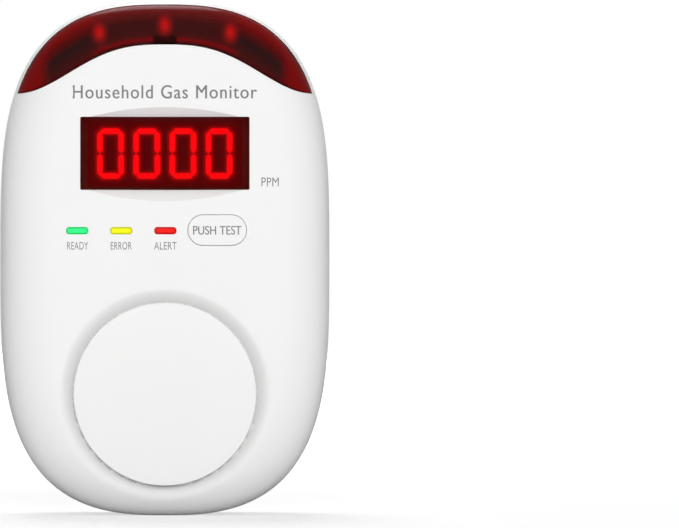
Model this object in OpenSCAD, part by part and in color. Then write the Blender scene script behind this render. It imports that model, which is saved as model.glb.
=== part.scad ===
// Plug-in carbon monoxide detector, built from its separate pieces.
// +Z is up, the front looks along -Y and the wall is on the +Y side.
// The origin is on the plug's axis, in the plane where the collar meets the wall outlet.
// Depths are measured from that plane into the detector, so a depth d lies at y = -d.

/* [Body] */
// Width of the case
body_w = 66; // [62:1:80]
// Height of the case
body_h = 103; // [98:1:125]
// Depth of the case without its collar
case_d = 30; // [29:1:40]
// Flatness of the top and bottom: 2 is an ellipse's, larger is flatter
end_power = 2.7; // [2.4:0.1:3.4]
// Flatness of the sides: 2 is an ellipse's, larger is flatter
side_power = 3.5; // [2.8:0.1:4.2]
// Thickness of both shells
wall = 2; // [1.6:0.1:2.4]
// Depth of the rear shell, from the back face to the parting line
rear_d = 9; // [8:0.5:12]
// How far in from the side the front's rounded edge starts
front_edge_w = 11; // [8:0.5:12]
// How deep the front's rounded edge is
front_edge_d = 8; // [6:0.5:10]
// How far in from the sides the back's sloping shoulder starts
shoulder_side = 5.3; // [4:0.1:6]
// How far in from the top and bottom the back's sloping shoulder starts
shoulder_end = 8; // [6:0.5:9]
// How much of the rear shell's depth the shoulder takes
shoulder_d = 5; // [4:0.5:6]
// Length of the lap that joins the two shells
lap_length = 3.4; // [2.5:0.1:4]
// Thickness of the lap
lap_t = 0.9; // [0.7:0.1:1]

/* [Alarm lens] */
// Width of white rim left outside the lens
lens_rim = 0.7; // [0.6:0.1:1.2]
// Height of the lens at its middle
lens_h = 8; // [6:0.5:9]
// How far the lens's tips lie below the top of the case
lens_drop = 18.4; // [15:0.1:20]
// How far each tip lies from the middle
lens_reach = 29.4; // [26:0.1:30]
// How quickly the lower edge falls away towards the tips
lens_fall = 1.375; // [1.1:0.005:1.8]
// Thickness of the flange behind the shell
lens_flange_t = 1; // [0.8:0.1:1.4]
// How far the flange reaches past the opening
lens_flange_w = 1.2; // [0.8:0.1:1.6]
// How far in from the rim the lens is carried back
lens_skirt_d = 8.2; // [7.5:0.1:9]

/* [Display] */
// Width of the display window
window_w = 33.6; // [30:0.1:40]
// Height of the display window
window_h = 14.4; // [13.5:0.1:16]
// Distance of the window's middle below the top of the case
window_drop = 30.5; // [30:0.1:34]
// How far the window lies below the face
window_sink = 0.5; // [0.2:0.1:0.8]
// Height of the scoop above the window
scoop_top = 1.9; // [1:0.1:2.5]
// Height of the scoop below the window
scoop_bottom = 2.3; // [1:0.1:2.5]
// Height of one digit
digit_h = 10.1; // [8:0.1:11]
// Width of one digit
digit_w = 5.4; // [4:0.1:6]
// Distance from one digit to the next
digit_pitch = 7.24; // [6.5:0.01:8]
// Width of a lit segment
segment_w = 1.15; // [0.8:0.05:1.4]

/* [Indicators] */
// Width of an indicator
indicator_w = 4.25; // [3:0.05:5]
// Height of an indicator
indicator_h = 1.3; // [1:0.1:2]
// Distance of the indicators' middle below the top of the case
indicator_drop = 45.95; // [44:0.05:48]
// Distance from one indicator to the next
indicator_pitch = 8.8; // [8:0.1:9]
// Place of the last indicator, to the right of the middle
indicator_last_x = 0.1; // [0:0.1:1]

/* [Test button] */
// Width of the button
button_w = 11.7; // [9:0.1:13]
// Height of the button
button_h = 6.1; // [5:0.1:7]
// Distance from the last indicator's end to the button
button_apart = 2.375; // [2.2:0.025:3]
// Distance of the button's middle below the top of the case
button_drop = 45.85; // [44:0.05:47]
// How far the button stands out of the face
button_proud = 0.3; // [0.1:0.1:0.6]
// How far the button travels
button_travel = 0.5; // [0.3:0.1:0.6]
// How far the switch's stem travels
stem_travel = 0.25; // [0.15:0.05:0.3]

/* [Sounder disc] */
// Radius of the raised disc
disc_r = 18.25; // [15:0.25:19]
// Outer radius of the dished groove round it
groove_r = 20.8; // [17.5:0.1:21]
// Depth of the groove
groove_d = 1.4; // [0.5:0.1:1.4]
// How far the disc stands out of the face
disc_proud = 0.3; // [0.1:0.1:0.6]
// Height of the disc's middle above the bottom of the case
disc_rise = 24.4; // [23:0.1:28]

/* [Vents] */
// Number of vent slots from the widest point on one side round to the other
vent_count = 33; // [17:2:35]
// Width of a vent slot
vent_w = 1.4; // [1:0.1:1.6]
// How far in from the side the slots reach
vent_side = 3.7; // [3:0.1:4.5]
// How far in from the bottom the slots reach
vent_end = 6.3; // [4:0.1:7]
// Height of the unbroken rim below the slots
vent_rim = 1.2; // [1:0.1:2]

/* [Plug] */
// Distance of the plug's axis below the top of the case
plug_drop = 26; // [25:0.5:30]
// Outer radius of the collar
collar_r = 19.9; // [19:0.1:21]
// Outer radius of the collar's flat end, and of the hole for the plug head
socket_r = 17.6; // [17:0.1:18.5]
// How far the collar stands out of the back face
collar_h = 4; // [3:0.5:5]
// How far the collar reaches in from its flat end
collar_d = 9; // [9:0.5:10]
// Radius of the flat plate round the blades
plate_r = 15.6; // [14:0.1:16]
// How far the flat plate is sunk
plate_sink = 1; // [0.5:0.1:1.5]
// Distance between the blades, the standard for a two-blade plug
blade_pitch = 12.7; // [12.7:0.1:12.7]
// Thickness of a blade
blade_t = 1.5; // [1.4:0.1:1.6]
// Height of a blade
blade_h = 6.35; // [6.3:0.05:6.5]
// Length of blade in front of the wall plane
blade_length = 16; // [15:0.5:18]
// How far the plug head turns to come free, in degrees
plug_turn = 45; // [40:1:50]
// Radius of the bayonet lugs' inner edge
lug_r = 16; // [15.5:0.1:16.2]
// Angle that each bayonet lug spans, in degrees
lug_angle = 50; // [40:1:56]
// Angle that each bayonet tab spans, in degrees
tab_angle = 36; // [24:1:38]

/* [Release button] */
// Radius of the release pad
pad_r = 3.65; // [3:0.05:4]
// How far outside the collar the pad's middle lies
pad_out = 2.9; // [2.6:0.1:3.4]
// Angle of the pad below level, to the right of the plug's axis seen from the front, in degrees
pad_angle = 51.8; // [45:0.1:60]
// Width of the neck that joins the pad to its latch
neck_w = 5; // [4:0.1:5.5]
// Width of the gap round the pad
pad_gap = 0.35; // [0.25:0.05:0.5]
// How far the pad travels
pad_travel = 1.5; // [1:0.1:1.5]
// Wire diameter of the release spring
spring_wire = 0.45; // [0.3:0.05:0.6]
// Outer diameter of the release spring
spring_od = 4.8; // [4.4:0.1:5.4]
// Number of turns in the release spring
spring_turns = 5; // [3:1:6]

/* [Screws] */
// Distance of the case screw below the collar
screw_gap = 5.2; // [4.8:0.1:6]
// Radius of the recess over the case screw
screw_recess_r = 2.8; // [2.8:0.1:3]
// Radius of the case screw's thread
screw_r = 1.5; // [1.2:0.1:1.6]
// Radius of a board screw's thread
board_screw_r = 1.1; // [1:0.1:1.3]
// Place of the board screws either side of the middle
board_screw_x = 25; // [23:0.5:25.5]
// Distance of the upper board screws below the top of the case
board_screw_drop = 24; // [23:0.5:26]
// Height of the lower board screws above the bottom of the case
board_screw_rise = 33; // [30:0.5:36]

/* [Circuit board] */
// Thickness of the board
board_t = 1.6; // [1:0.1:2]
// Depth of the board's back face behind the back of the case
board_d = 17.2; // [16.5:0.1:18]
// Gap between the board's edge and the wall
board_gap = 0.6; // [0.4:0.1:1]

/* [Label] */
// Width of the label
label_w = 34.5; // [25:0.5:38]
// Height of the label
label_h = 26; // [20:0.5:28]
// Height of the label's middle above the bottom of the case
label_rise = 30.5; // [26:0.5:32]
// Thickness of the label
label_t = 0.15; // [0.1:0.05:0.2]

/* [Fits] */
// Gap round a piece that doesn't move
still_gap = 0.1; // [0.05:0.05:0.2]
// Gap round a piece that slides or turns
moving_gap = 0.2; // [0.15:0.05:0.3]
// Gap between pieces that meet only in use
working_gap = 0.3; // [0.2:0.05:0.4]
// Gap round a screw's thread, where the real thread bites
thread_gap = 0.05; // [0.02:0.01:0.1]

/* [Hidden] */

$fn = 64;
// outline points, kept a multiple of four so that the outline is the same on all sides
outline_n = 96;
// steps across the front's rounded edge and across the back's shoulder
edge_steps = 7;
shoulder_steps = 4;
// more than enough to pass a cutter through a face
over = 1;
// how far one shape of a piece runs into the next
join = 0.5;

half_w = body_w / 2;
half_h = body_h / 2;
top_z = plug_drop;
bottom_z = top_z - body_h;
middle_z = top_z - half_h;

back_d = collar_h;
parting_d = back_d + rear_d;
face_d = back_d + case_d;
inner_face_d = face_d - wall;
inner_back_d = back_d + wall;
board_back_d = back_d + board_d;
board_front_d = board_back_d + board_t;

window_z = top_z - window_drop;
indicator_z = top_z - indicator_drop;
button_z = top_z - button_drop;
button_x = indicator_last_x + indicator_w / 2 + button_apart + button_w / 2;
disc_z = bottom_z + disc_rise;
label_z = bottom_z + label_rise;
screw_z = -collar_r - screw_gap;
pad_from_axis = collar_r + pad_out;
pad_turn = -pad_angle;
pad_x = pad_from_axis * cos(pad_turn);
pad_z = pad_from_axis * sin(pad_turn);
board_screw_spots = [for (side = [-1, 1]) for (z = [top_z - board_screw_drop, bottom_z + board_screw_rise])
    [side * board_screw_x, z]];

// ---- outline and shell shapes ----

// a point of the rounded outline with half-width a and half-height b, at angle t
function signed_power(v, p) = sign(v) * pow(abs(v), p);
function outline_point(a, b, t) =
    [a * signed_power(cos(t), 2 / end_power), b * signed_power(sin(t), 2 / side_power)];

// the outward direction of the case's outline at angle t
function outline_normal(t) =
    let (n = [end_power * signed_power(cos(t), 2 - 2 / end_power) / half_w,
        side_power * signed_power(sin(t), 2 - 2 / side_power) / half_h]) n / norm(n);

// one ring of points: inset from the sides, inset from the ends, depth
function ring(r) = [for (i = [0 : outline_n - 1])
    let (p = outline_point(half_w - r[0], half_h - r[1], i * 360 / outline_n))
    [p.x, -r[2], middle_z + p.y]];

// a closed solid through a list of rings, from the rearmost cap to the front or round a wall's section
module loft(rings) {
    points = [for (r = rings) each ring(r)];
    n = outline_n;
    last = len(rings) - 1;
    sides = [for (i = [0 : last - 1]) for (j = [0 : n - 1])
        let (a = i * n + j, b = i * n + (j + 1) % n, c = (i + 1) * n + (j + 1) % n, d = (i + 1) * n + j)
        each [[a, d, c], [a, c, b]]];
    caps = [[for (j = [0 : n - 1]) j], [for (j = [n - 1 : -1 : 0]) last * n + j]];
    polyhedron(points = points, faces = concat(sides, caps));
}

// rings of the front's rounded edge, a quarter ellipse, set in by skin, from the wall to the face
function front_rings(skin) = [for (i = [0 : edge_steps])
    let (t = 90 * (1 - i / edge_steps),
        inset = skin + (front_edge_w - skin) * (1 - sin(t)),
        depth = face_d - skin - (front_edge_d - skin) * (1 - cos(t)))
    [inset, inset, depth]];

// rings of the back's shoulder, a quarter ellipse, set in by skin, from the back face to the wall
function shoulder_rings(skin) = [for (i = [0 : shoulder_steps])
    let (t = 90 * i / shoulder_steps)
    [skin + (shoulder_side - skin) * (1 - sin(t)), skin + (shoulder_end - skin) * (1 - sin(t)),
        back_d + skin + (shoulder_d - skin) * (1 - cos(t))]];

// the front's outer form as a solid block, set in by skin
module dome(skin) {
    loft(concat([[skin, skin, parting_d]], front_rings(skin)));
}

function reversed(list) = [for (i = [len(list) - 1 : -1 : 0]) list[i]];

// a flat outline carried from depth d0 to depth d1
module prism(d0, d1) {
    translate([0, -d0, 0]) rotate([90, 0, 0]) linear_extrude(d1 - d0) children();
}

// a straight rod between two depths, at place [x, z]
module rod(r, d0, d1, at = [0, 0]) {
    translate([at.x, -d0, at.y]) rotate([90, 0, 0]) cylinder(r = r, h = d1 - d0);
}

// a ring turned about a line along Y, from a profile of [radius, depth] points
module turned(at = [0, 0], angle = 360, start = 0) {
    translate([at.x, 0, at.y]) rotate([90, 0, 0]) rotate([0, 0, start])
        rotate_extrude(angle = angle) children();
}

// a block centred on [x, z], between two depths
module block(w, h, d0, d1, at = [0, 0]) {
    prism(d0, d1) translate(at) square([w, h], center = true);
}

// a bar with round ends, as a flat outline
module bar_outline(w, h) {
    square([w - h, h], center = true);
    for (side = [-1, 1]) translate([side * (w - h) / 2, 0]) circle(d = h);
}

// a rectangle with rounded corners, as a flat outline
module rounded_outline(w, h, r) {
    square([w - 2 * r, h], center = true);
    square([w, h - 2 * r], center = true);
    for (x = [-1, 1]) for (y = [-1, 1]) translate([x * (w / 2 - r), y * (h / 2 - r)]) circle(r = r);
}

// the case's outline set in by a distance, as a flat outline
module case_outline(inset) {
    translate([0, middle_z]) polygon([for (i = [0 : outline_n - 1])
        outline_point(half_w - inset, half_h - inset, i * 360 / outline_n)]);
}

// ---- vents ----

// pairs of [length run along a quarter of the outline from its widest point, angle]
quarter_steps = 90;
quarter_table = [for (k = 0, s = 0; k <= quarter_steps;
    s = s + norm(outline_point(half_w, half_h, (k + 1) * 90 / quarter_steps)
        - outline_point(half_w, half_h, k * 90 / quarter_steps)), k = k + 1) [s, k * 90 / quarter_steps]];
quarter_length = quarter_table[quarter_steps][0];
vents_per_side = (vent_count - 1) / 2;

// the slots' flat outline: each starts in a round end and runs out square to the case's edge
module vent_outline() {
    for (i = [-vents_per_side : vents_per_side]) {
        t = lookup(quarter_length * abs(i) / vents_per_side,
            [for (q = quarter_table) [quarter_length - q[0], q[1]]]);
        p = outline_point(half_w, half_h, t);
        n = outline_normal(t);
        side = i < 0 ? -1 : 1;
        reach = vent_side + (vent_end - vent_side) * n.y * n.y - vent_w / 2;
        translate([side * p.x, middle_z - p.y]) rotate(atan2(-n.y, side * n.x)) {
            translate([-reach, -vent_w / 2]) square([reach + over, vent_w]);
            translate([-reach, 0]) circle(d = vent_w);
        }
    }
}

// ---- alarm lens ----

lens_steps = 24;
lens_tip_z = top_z - lens_drop;
lens_edge_rise = lens_drop - lens_rim - lens_h;

// the lens's lower edge: a cosine wave that is high in the middle and flat at the tips
function lens_edge(x) = lens_tip_z
    + lens_edge_rise * (1 + cos(180 * pow(min(1, abs(x) / lens_reach), lens_fall))) / 2;

// all the front above the lens's lower edge, lowered by grow, inside the rim
module lens_outline(rim, grow) {
    intersection() {
        case_outline(rim);
        polygon(concat([for (i = [-lens_steps : lens_steps])
            let (x = i * lens_reach / lens_steps) [x, lens_edge(x) - grow]],
            [[lens_reach, top_z + over], [-lens_reach, top_z + over]]));
    }
}

lens_back_d = face_d - lens_skirt_d;

module alarm_lens() {
    color([0.55, 0.03, 0.03, 0.7]) difference() {
        intersection() {
            dome(0);
            union() {
                prism(lens_back_d, face_d + over) lens_outline(lens_rim, 0);
                intersection() {
                    dome(wall + still_gap);
                    prism(lens_back_d, face_d + over) lens_outline(wall + still_gap, lens_flange_w);
                }
            }
        }
        dome(wall + still_gap + lens_flange_t);
    }
}

// ---- shells ----

boss_r = 2.5;
case_boss_r = 3.2;
screw_tube_r = 4;
boss_root = wall / 2;
notch_h = 1.6;
notch_depth = 0.4;
notch_length = 2.5;
notch_drops = [39.5, 43.4];

// bosses that carry the circuit board, and the one that takes the case screw
module front_bosses() {
    intersection() {
        dome(boss_root);
        union() {
            for (at = board_screw_spots) rod(boss_r, board_front_d, face_d, at);
            rod(case_boss_r, board_front_d, face_d, [0, screw_z]);
        }
    }
}

// the openings through the front: lens, window, indicators and button
module front_openings() {
    prism(lens_back_d - still_gap, face_d + over) lens_outline(lens_rim - still_gap, still_gap);
    prism(inner_face_d - over, face_d + over) translate([0, window_z])
        square([window_w + 2 * still_gap, window_h + 2 * still_gap], center = true);
    for (i = [0 : 2]) prism(inner_face_d - over, face_d + over)
        translate([indicator_last_x - i * indicator_pitch, indicator_z])
            bar_outline(indicator_w + 2 * still_gap, indicator_h + 2 * still_gap);
    prism(inner_face_d - over, face_d + over) translate([button_x, button_z])
        bar_outline(button_w + 2 * moving_gap, button_h + 2 * moving_gap);
}

// a shallow scoop beyond the window's edge: the part of a large circle that rises above it
module scoop_outline(rise) {
    r = (window_w * window_w / 4 + rise * rise) / (2 * rise);
    intersection() {
        translate([0, window_h / 2 + rise - r]) circle(r = r, $fn = 240);
        translate([-window_w / 2, window_h / 2 - still_gap]) square([window_w, rise + over]);
    }
}

module front_scoops() {
    prism(face_d - window_sink, face_d + over) translate([0, window_z]) {
        scoop_outline(scoop_top);
        mirror([0, 1]) scoop_outline(scoop_bottom);
    }
}

module front_shell() {
    lap_inset = wall - lap_t;
    tongue_d = parting_d - lap_length;
    rim_d = parting_d + still_gap;
    color([0.93, 0.93, 0.92]) {
        difference() {
            union() {
                loft(concat(reversed(front_rings(wall)),
                    [[wall, wall, tongue_d], [lap_inset, lap_inset, tongue_d],
                    [lap_inset, lap_inset, rim_d], [0, 0, rim_d]], front_rings(0)));
                front_bosses();
            }
            front_openings();
            front_scoops();
            turned([0, disc_z]) polygon([[0, face_d - groove_d], [disc_r, face_d - groove_d],
                [groove_r, face_d], [groove_r, face_d + over], [0, face_d + over]]);
            for (at = board_screw_spots)
                rod(board_screw_r + thread_gap, board_front_d - over, inner_face_d, at);
            rod(screw_r + thread_gap, board_front_d - over, inner_face_d, [0, screw_z]);
            for (side = [-1, 1]) for (drop = notch_drops)
                block(2 * notch_depth, notch_h, rim_d - over, rim_d + notch_length,
                    [side * half_w, top_z - drop]);
        }
        rod(disc_r, face_d - groove_d - join, face_d + disc_proud, [0, disc_z]);
    }
}

screw_head_h = 2;
screw_head_d = back_d + 2.4;

// the plug's collar, the tube for the case screw and the bayonet lugs
module rear_posts() {
    rod(collar_r, 0, collar_d);
    rod(screw_tube_r, back_d + wall / 2, board_back_d, [0, screw_z]);
}

lug_d = 6;
lug_t = 1.5;

module bayonet_lugs() {
    for (turn = [0, 180]) turned(start = turn - lug_angle / 2, angle = lug_angle)
        translate([lug_r, lug_d]) square([socket_r + moving_gap - lug_r, lug_t]);
}

// the release pad and its neck, seen from the back, grown by a gap
module pad_outline(gap, reach) {
    translate([pad_x, pad_z]) circle(r = pad_r + gap);
    rotate(pad_turn) translate([reach, -neck_w / 2 - gap])
        square([pad_from_axis - reach, neck_w + 2 * gap]);
}

module rear_shell() {
    lap_inset = wall - lap_t - still_gap;
    rebate_d = parting_d - lap_length - moving_gap;
    neck_t = release_t + pad_travel + 2 * moving_gap;
    color([0.9, 0.9, 0.89]) {
        difference() {
            union() {
                loft(concat(shoulder_rings(0), [[0, 0, parting_d], [lap_inset, lap_inset, parting_d],
                    [lap_inset, lap_inset, rebate_d], [wall, wall, rebate_d]],
                    reversed(shoulder_rings(wall))));
                rear_posts();
            }
            rod(socket_r, -over, collar_d + over);
            prism(back_d - moving_gap, back_d + neck_t) pad_outline(pad_gap, socket_r - over);
            prism(back_d - over, parting_d - vent_rim) vent_outline();
            rod(screw_recess_r, back_d - over, screw_head_d + screw_head_h, [0, screw_z]);
            rod(screw_r + thread_gap, back_d, board_back_d + over, [0, screw_z]);
            block(label_w + 2 * still_gap, label_h + 2 * still_gap, back_d - over, back_d + label_t,
                [0, label_z]);
        }
        bayonet_lugs();
    }
}

// ---- front pieces ----

flange_w = 1;
flange_t = 1;
lens_block_w = 4.6;
lens_block_h = 1.4;
lens_block_length = 5;

// a small black block that stands on the board, just inside the lens's lower edge
module lens_block() {
    color([0.05, 0.05, 0.05]) block(lens_block_w, lens_block_h, board_front_d,
        board_front_d + lens_block_length, [0, lens_edge(0) + still_gap + lens_block_h / 2]);
}

module display_window() {
    color([0.3, 0.01, 0.02, 0.8]) translate([0, 0, window_z]) {
        block(window_w, window_h, inner_face_d, face_d - window_sink);
        block(window_w + 2 * flange_w, window_h + 2 * flange_w, inner_face_d - flange_t, inner_face_d);
    }
}

display_w = 31;
display_h = 13;
segment_t = 0.3;
// the module's front, so that the segments on it end a little behind the window
display_front_d = inner_face_d - flange_t - segment_t - 0.5;

module display_module() {
    color([0.06, 0.05, 0.05]) block(display_w, display_h, board_front_d, display_front_d, [0, window_z]);
}

// one segment lying along X: a bar with mitred ends
module segment_outline(length) {
    end = length / 2;
    mitre = (length - segment_w) / 2;
    polygon([[-end, 0], [-mitre, segment_w / 2], [mitre, segment_w / 2], [end, 0], [mitre, -segment_w / 2],
        [-mitre, -segment_w / 2]]);
}

// the six lit segments of a zero
module zero_outline() {
    across = digit_w - segment_w;
    upright = (digit_h - segment_w) / 2;
    for (side = [-1, 1]) {
        translate([0, side * upright]) segment_outline(across - still_gap);
        for (half = [-1, 1]) translate([side * across / 2, half * upright / 2])
            rotate(90) segment_outline(upright - still_gap);
    }
}

module display_segments() {
    color([1, 0.05, 0.05]) for (i = [-1.5 : 1 : 1.5])
        prism(display_front_d, display_front_d + segment_t) translate([i * digit_pitch, window_z])
            zero_outline();
}

// a light pipe: its end fills a slot in the face and a flange holds it from behind
module indicator(i) {
    at = [indicator_last_x - i * indicator_pitch, indicator_z];
    prism(board_front_d + indicator_led_h + working_gap, face_d) translate(at)
        bar_outline(indicator_w, indicator_h);
    prism(inner_face_d - flange_t, inner_face_d) translate(at)
        bar_outline(indicator_w + flange_w, indicator_h + flange_w);
}

module green_indicator() {
    color([0.15, 0.95, 0.45]) indicator(2);
}

module yellow_indicator() {
    color([0.98, 0.96, 0.05]) indicator(1);
}

module red_indicator() {
    color([0.92, 0.03, 0.05]) indicator(0);
}

button_flange_t = 1;
stem_r = 1.75;
switch_w = 6;
switch_h = 3.5;
switch_top_d = board_front_d + switch_h;
stem_top_d = switch_top_d + 1.5;
stem_sink = 0.8;

module test_button() {
    flange_end_d = inner_face_d - moving_gap;
    color([0.93, 0.93, 0.92]) {
        prism(flange_end_d - button_flange_t, face_d + button_proud) translate([button_x, button_z])
            bar_outline(button_w, button_h);
        prism(flange_end_d - button_flange_t, flange_end_d) translate([button_x, button_z])
            bar_outline(button_w + 2 * flange_w, button_h + 2 * flange_w);
        rod(stem_r + still_gap, stem_top_d + working_gap, inner_face_d, [button_x, button_z]);
    }
}

module switch_stem() {
    color([0.1, 0.1, 0.1]) rod(stem_r, switch_top_d - stem_sink, stem_top_d, [button_x, button_z]);
}

module tact_switch() {
    color([0.75, 0.75, 0.76]) difference() {
        block(switch_w, switch_w, board_front_d, switch_top_d, [button_x, button_z]);
        rod(stem_r + moving_gap, switch_top_d - stem_sink - stem_travel - moving_gap, switch_top_d + over,
            [button_x, button_z]);
    }
}

module circuit_board() {
    color([0.05, 0.35, 0.2]) difference() {
        prism(board_back_d, board_front_d) case_outline(wall + board_gap);
        for (at = board_screw_spots)
            rod(board_screw_r + moving_gap, board_back_d - over, board_front_d + over, at);
        rod(screw_r + moving_gap, board_back_d - over, board_front_d + over, [0, screw_z]);
    }
}

led_r = 1.5;
led_base_r = 1.9;
led_base_h = 1;
led_h = 4.6;
led_side_x = 13.1;
led_side_drop = 6.4;
led_middle_drop = 4.9;
indicator_led_w = 2;
indicator_led_h = 1.1;

module alarm_leds() {
    color([0.9, 0.1, 0.1]) for (at = [[-led_side_x, top_z - led_side_drop], [0, top_z - led_middle_drop],
        [led_side_x, top_z - led_side_drop]]) {
        rod(led_base_r, board_front_d, board_front_d + led_base_h, at);
        turned(at) intersection() {
            union() {
                translate([0, board_front_d]) square([led_r, led_h - led_r]);
                translate([0, board_front_d + led_h - led_r]) circle(r = led_r);
            }
            translate([0, board_front_d]) square([led_r + over, led_h]);
        }
    }
}

module indicator_leds() {
    color([0.95, 0.95, 0.9]) for (i = [0 : 2])
        block(indicator_led_w, indicator_led_w * 0.6, board_front_d, board_front_d + indicator_led_h,
            [indicator_last_x - i * indicator_pitch, indicator_z]);
}

cup_r = 16;
cup_wall = 1.2;
cup_h = 7;
cup_mouth_r = 4;
sounder_r = 13.5;
sounder_t = 0.3;
sounder_shelf = 3;
sounder_shelf_w = 1;

module sounder_cup() {
    color([0.08, 0.08, 0.08]) turned([0, disc_z]) difference() {
        translate([0, board_front_d]) square([cup_r, cup_h]);
        translate([-over, board_front_d - over])
            square([sounder_r - sounder_shelf_w + over, sounder_shelf + over]);
        translate([-over, board_front_d + sounder_shelf])
            square([sounder_r + still_gap + over, cup_h - sounder_shelf - cup_wall]);
        translate([-over, board_front_d]) square([cup_mouth_r + over, cup_h + over]);
    }
}

module sounder_disc() {
    disc_d = board_front_d + sounder_shelf;
    color([0.8, 0.65, 0.3]) {
        rod(sounder_r, disc_d, disc_d + sounder_t, [0, disc_z]);
        rod(sounder_r * 0.7, disc_d + sounder_t, disc_d + 2 * sounder_t, [0, disc_z]);
    }
}

// ---- pieces on the back of the board ----

sensor_r = 8.5;
sensor_h = 9;
sensor_lip = 1.2;
filter_well = 1.5;
filter_t = 1.2;
sensor_at = [11.5, disc_z - 7];
sensor_end_d = board_back_d - sensor_h;

module co_sensor() {
    color([0.75, 0.76, 0.77]) difference() {
        rod(sensor_r, sensor_end_d, board_back_d, sensor_at);
        rod(sensor_r - sensor_lip, sensor_end_d - over, sensor_end_d + filter_well, sensor_at);
    }
}

module sensor_filter() {
    color([0.92, 0.92, 0.88]) rod(sensor_r - sensor_lip - still_gap, sensor_end_d + filter_well - filter_t,
        sensor_end_d + filter_well, sensor_at);
}

chip_at = [-8, disc_z - 13];
chip_w = 9;
chip_h = 1.4;
chip_lift = 0.2;
pin_w = 0.35;
pin_length = 1.2;
pin_pitch = 0.9;
pins_either_side = 4;

module microcontroller() {
    color([0.06, 0.06, 0.07]) {
        block(chip_w, chip_w, board_back_d - chip_h, board_back_d - chip_lift, chip_at);
        for (side = [-1, 1]) for (i = [-pins_either_side : pins_either_side]) {
            block(pin_length, pin_w, board_back_d - 2 * chip_lift, board_back_d,
                chip_at + [side * (chip_w + 1) / 2, i * pin_pitch]);
            block(pin_w, pin_length, board_back_d - 2 * chip_lift, board_back_d,
                chip_at + [i * pin_pitch, side * (chip_w + 1) / 2]);
        }
    }
}

box_w = 17.5;
box_h = 8;
box_d = 11;
box_at = [16, disc_z + 15];

module mains_capacitor() {
    color([0.85, 0.75, 0.15])
        prism(board_back_d - box_d, board_back_d) translate(box_at) rounded_outline(box_w, box_h, 1);
}

can_r = 4;
can_h = 11;
can_groove_r = 0.35;
can_groove_d = 1.8;
can_spots = [[-17.5, disc_z + 12], [-17.5, disc_z + 2]];

module electrolytic_capacitors() {
    color([0.1, 0.1, 0.14]) for (at = can_spots) turned(at) difference() {
        translate([0, board_back_d - can_h]) square([can_r, can_h]);
        translate([can_r, board_back_d - can_groove_d]) circle(r = can_groove_r);
    }
}

lead_r = 0.4;
varistor_r = 4.5;
varistor_t = 4;
varistor_lift = 1;
varistor_at = [22, disc_z + 4];

// a disc that stands on edge on two leads
module varistor() {
    disc_d = board_back_d - varistor_lift - varistor_r;
    color([0.1, 0.25, 0.6]) {
        translate([varistor_at.x - varistor_t / 2, -disc_d, varistor_at.y]) rotate([0, 90, 0])
            cylinder(r = varistor_r, h = varistor_t);
        for (side = [-1, 1])
            rod(lead_r, disc_d + varistor_lift, board_back_d, varistor_at + [0, side * varistor_r / 2]);
    }
}

fuse_r = 2.5;
fuse_length = 15;
fuse_lift = 0.3;
fuse_at = [-5, screw_z - 8];

// a tube that lies along X, held by a lead near each end
module fuse() {
    axis_d = board_back_d - fuse_lift - fuse_r;
    color([0.85, 0.85, 0.82]) {
        translate([fuse_at.x - fuse_length / 2, -axis_d, fuse_at.y]) rotate([0, 90, 0])
            cylinder(r = fuse_r, h = fuse_length);
        for (side = [-1, 1])
            rod(lead_r, axis_d, board_back_d, fuse_at + [side * (fuse_length / 2 - fuse_lift - lead_r), 0]);
    }
}

core_w = 13;
core_h = 12;
core_d = 10;
bobbin_w = 15;
bobbin_t = 2;
winding_w = 9;
core_at = [-5, disc_z + 4];

// a core over a bobbin, with the winding standing out of its ends
module transformer() {
    color([0.3, 0.28, 0.26]) {
        block(core_w, core_h, board_back_d - core_d, board_back_d - bobbin_t, core_at);
        block(bobbin_w, bobbin_w, board_back_d - bobbin_t, board_back_d, core_at);
        block(winding_w, bobbin_w, board_back_d - core_d + 1, board_back_d - bobbin_t, core_at);
    }
}

// ---- plug ----

blade_back_d = 7.5;
stud_r = 1.5;
stud_end_d = 10.8;
contact_d = stud_end_d + working_gap;
contact_t = 0.5;
holder_d = contact_d + contact_t;
holder_t = 2;
holder_w = 24;
holder_h = 14;
seat_r = 4;
leg_r = 2;

module contact_holder() {
    color([0.85, 0.83, 0.76]) {
        block(holder_w, holder_h, holder_d, holder_d + holder_t);
        prism(holder_d, holder_d + holder_t) {
            rotate(pad_turn) translate([0, -leg_r]) square([pad_from_axis, 2 * leg_r]);
            translate([pad_x, pad_z]) circle(r = seat_r);
        }
        for (x = [-1, 1]) for (z = [-1, 1]) rod(leg_r, holder_d + holder_t / 2, board_back_d,
            [x * (holder_w / 2 - leg_r), z * (holder_h / 2 - leg_r)]);
        rod(leg_r, holder_d + holder_t / 2, board_back_d, [pad_x, pad_z]);
    }
}

contact_w = 6;
contact_reach = 6;
leaf_x = holder_w / 2 + still_gap;

// each contact is a leaf that lies on the holder and turns down its side to the board
module plug_contacts() {
    leaf_start = (blade_pitch - contact_reach) / 2;
    leaf_end = leaf_x + contact_t;
    color([0.82, 0.68, 0.35]) for (side = [-1, 1]) {
        block(leaf_end - leaf_start, contact_w, contact_d, contact_d + contact_t,
            [side * (leaf_end + leaf_start) / 2, 0]);
        block(contact_t, contact_w, contact_d, board_back_d, [side * (leaf_x + contact_t / 2), 0]);
    }
}

head_r = socket_r - moving_gap;
tab_d = lug_d + lug_t + moving_gap;
tab_t = 1.5;
head_neck_r = lug_r - moving_gap;
latch_notch = 0.9;
cone_w = 2;
blade_wall = 3;

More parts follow.
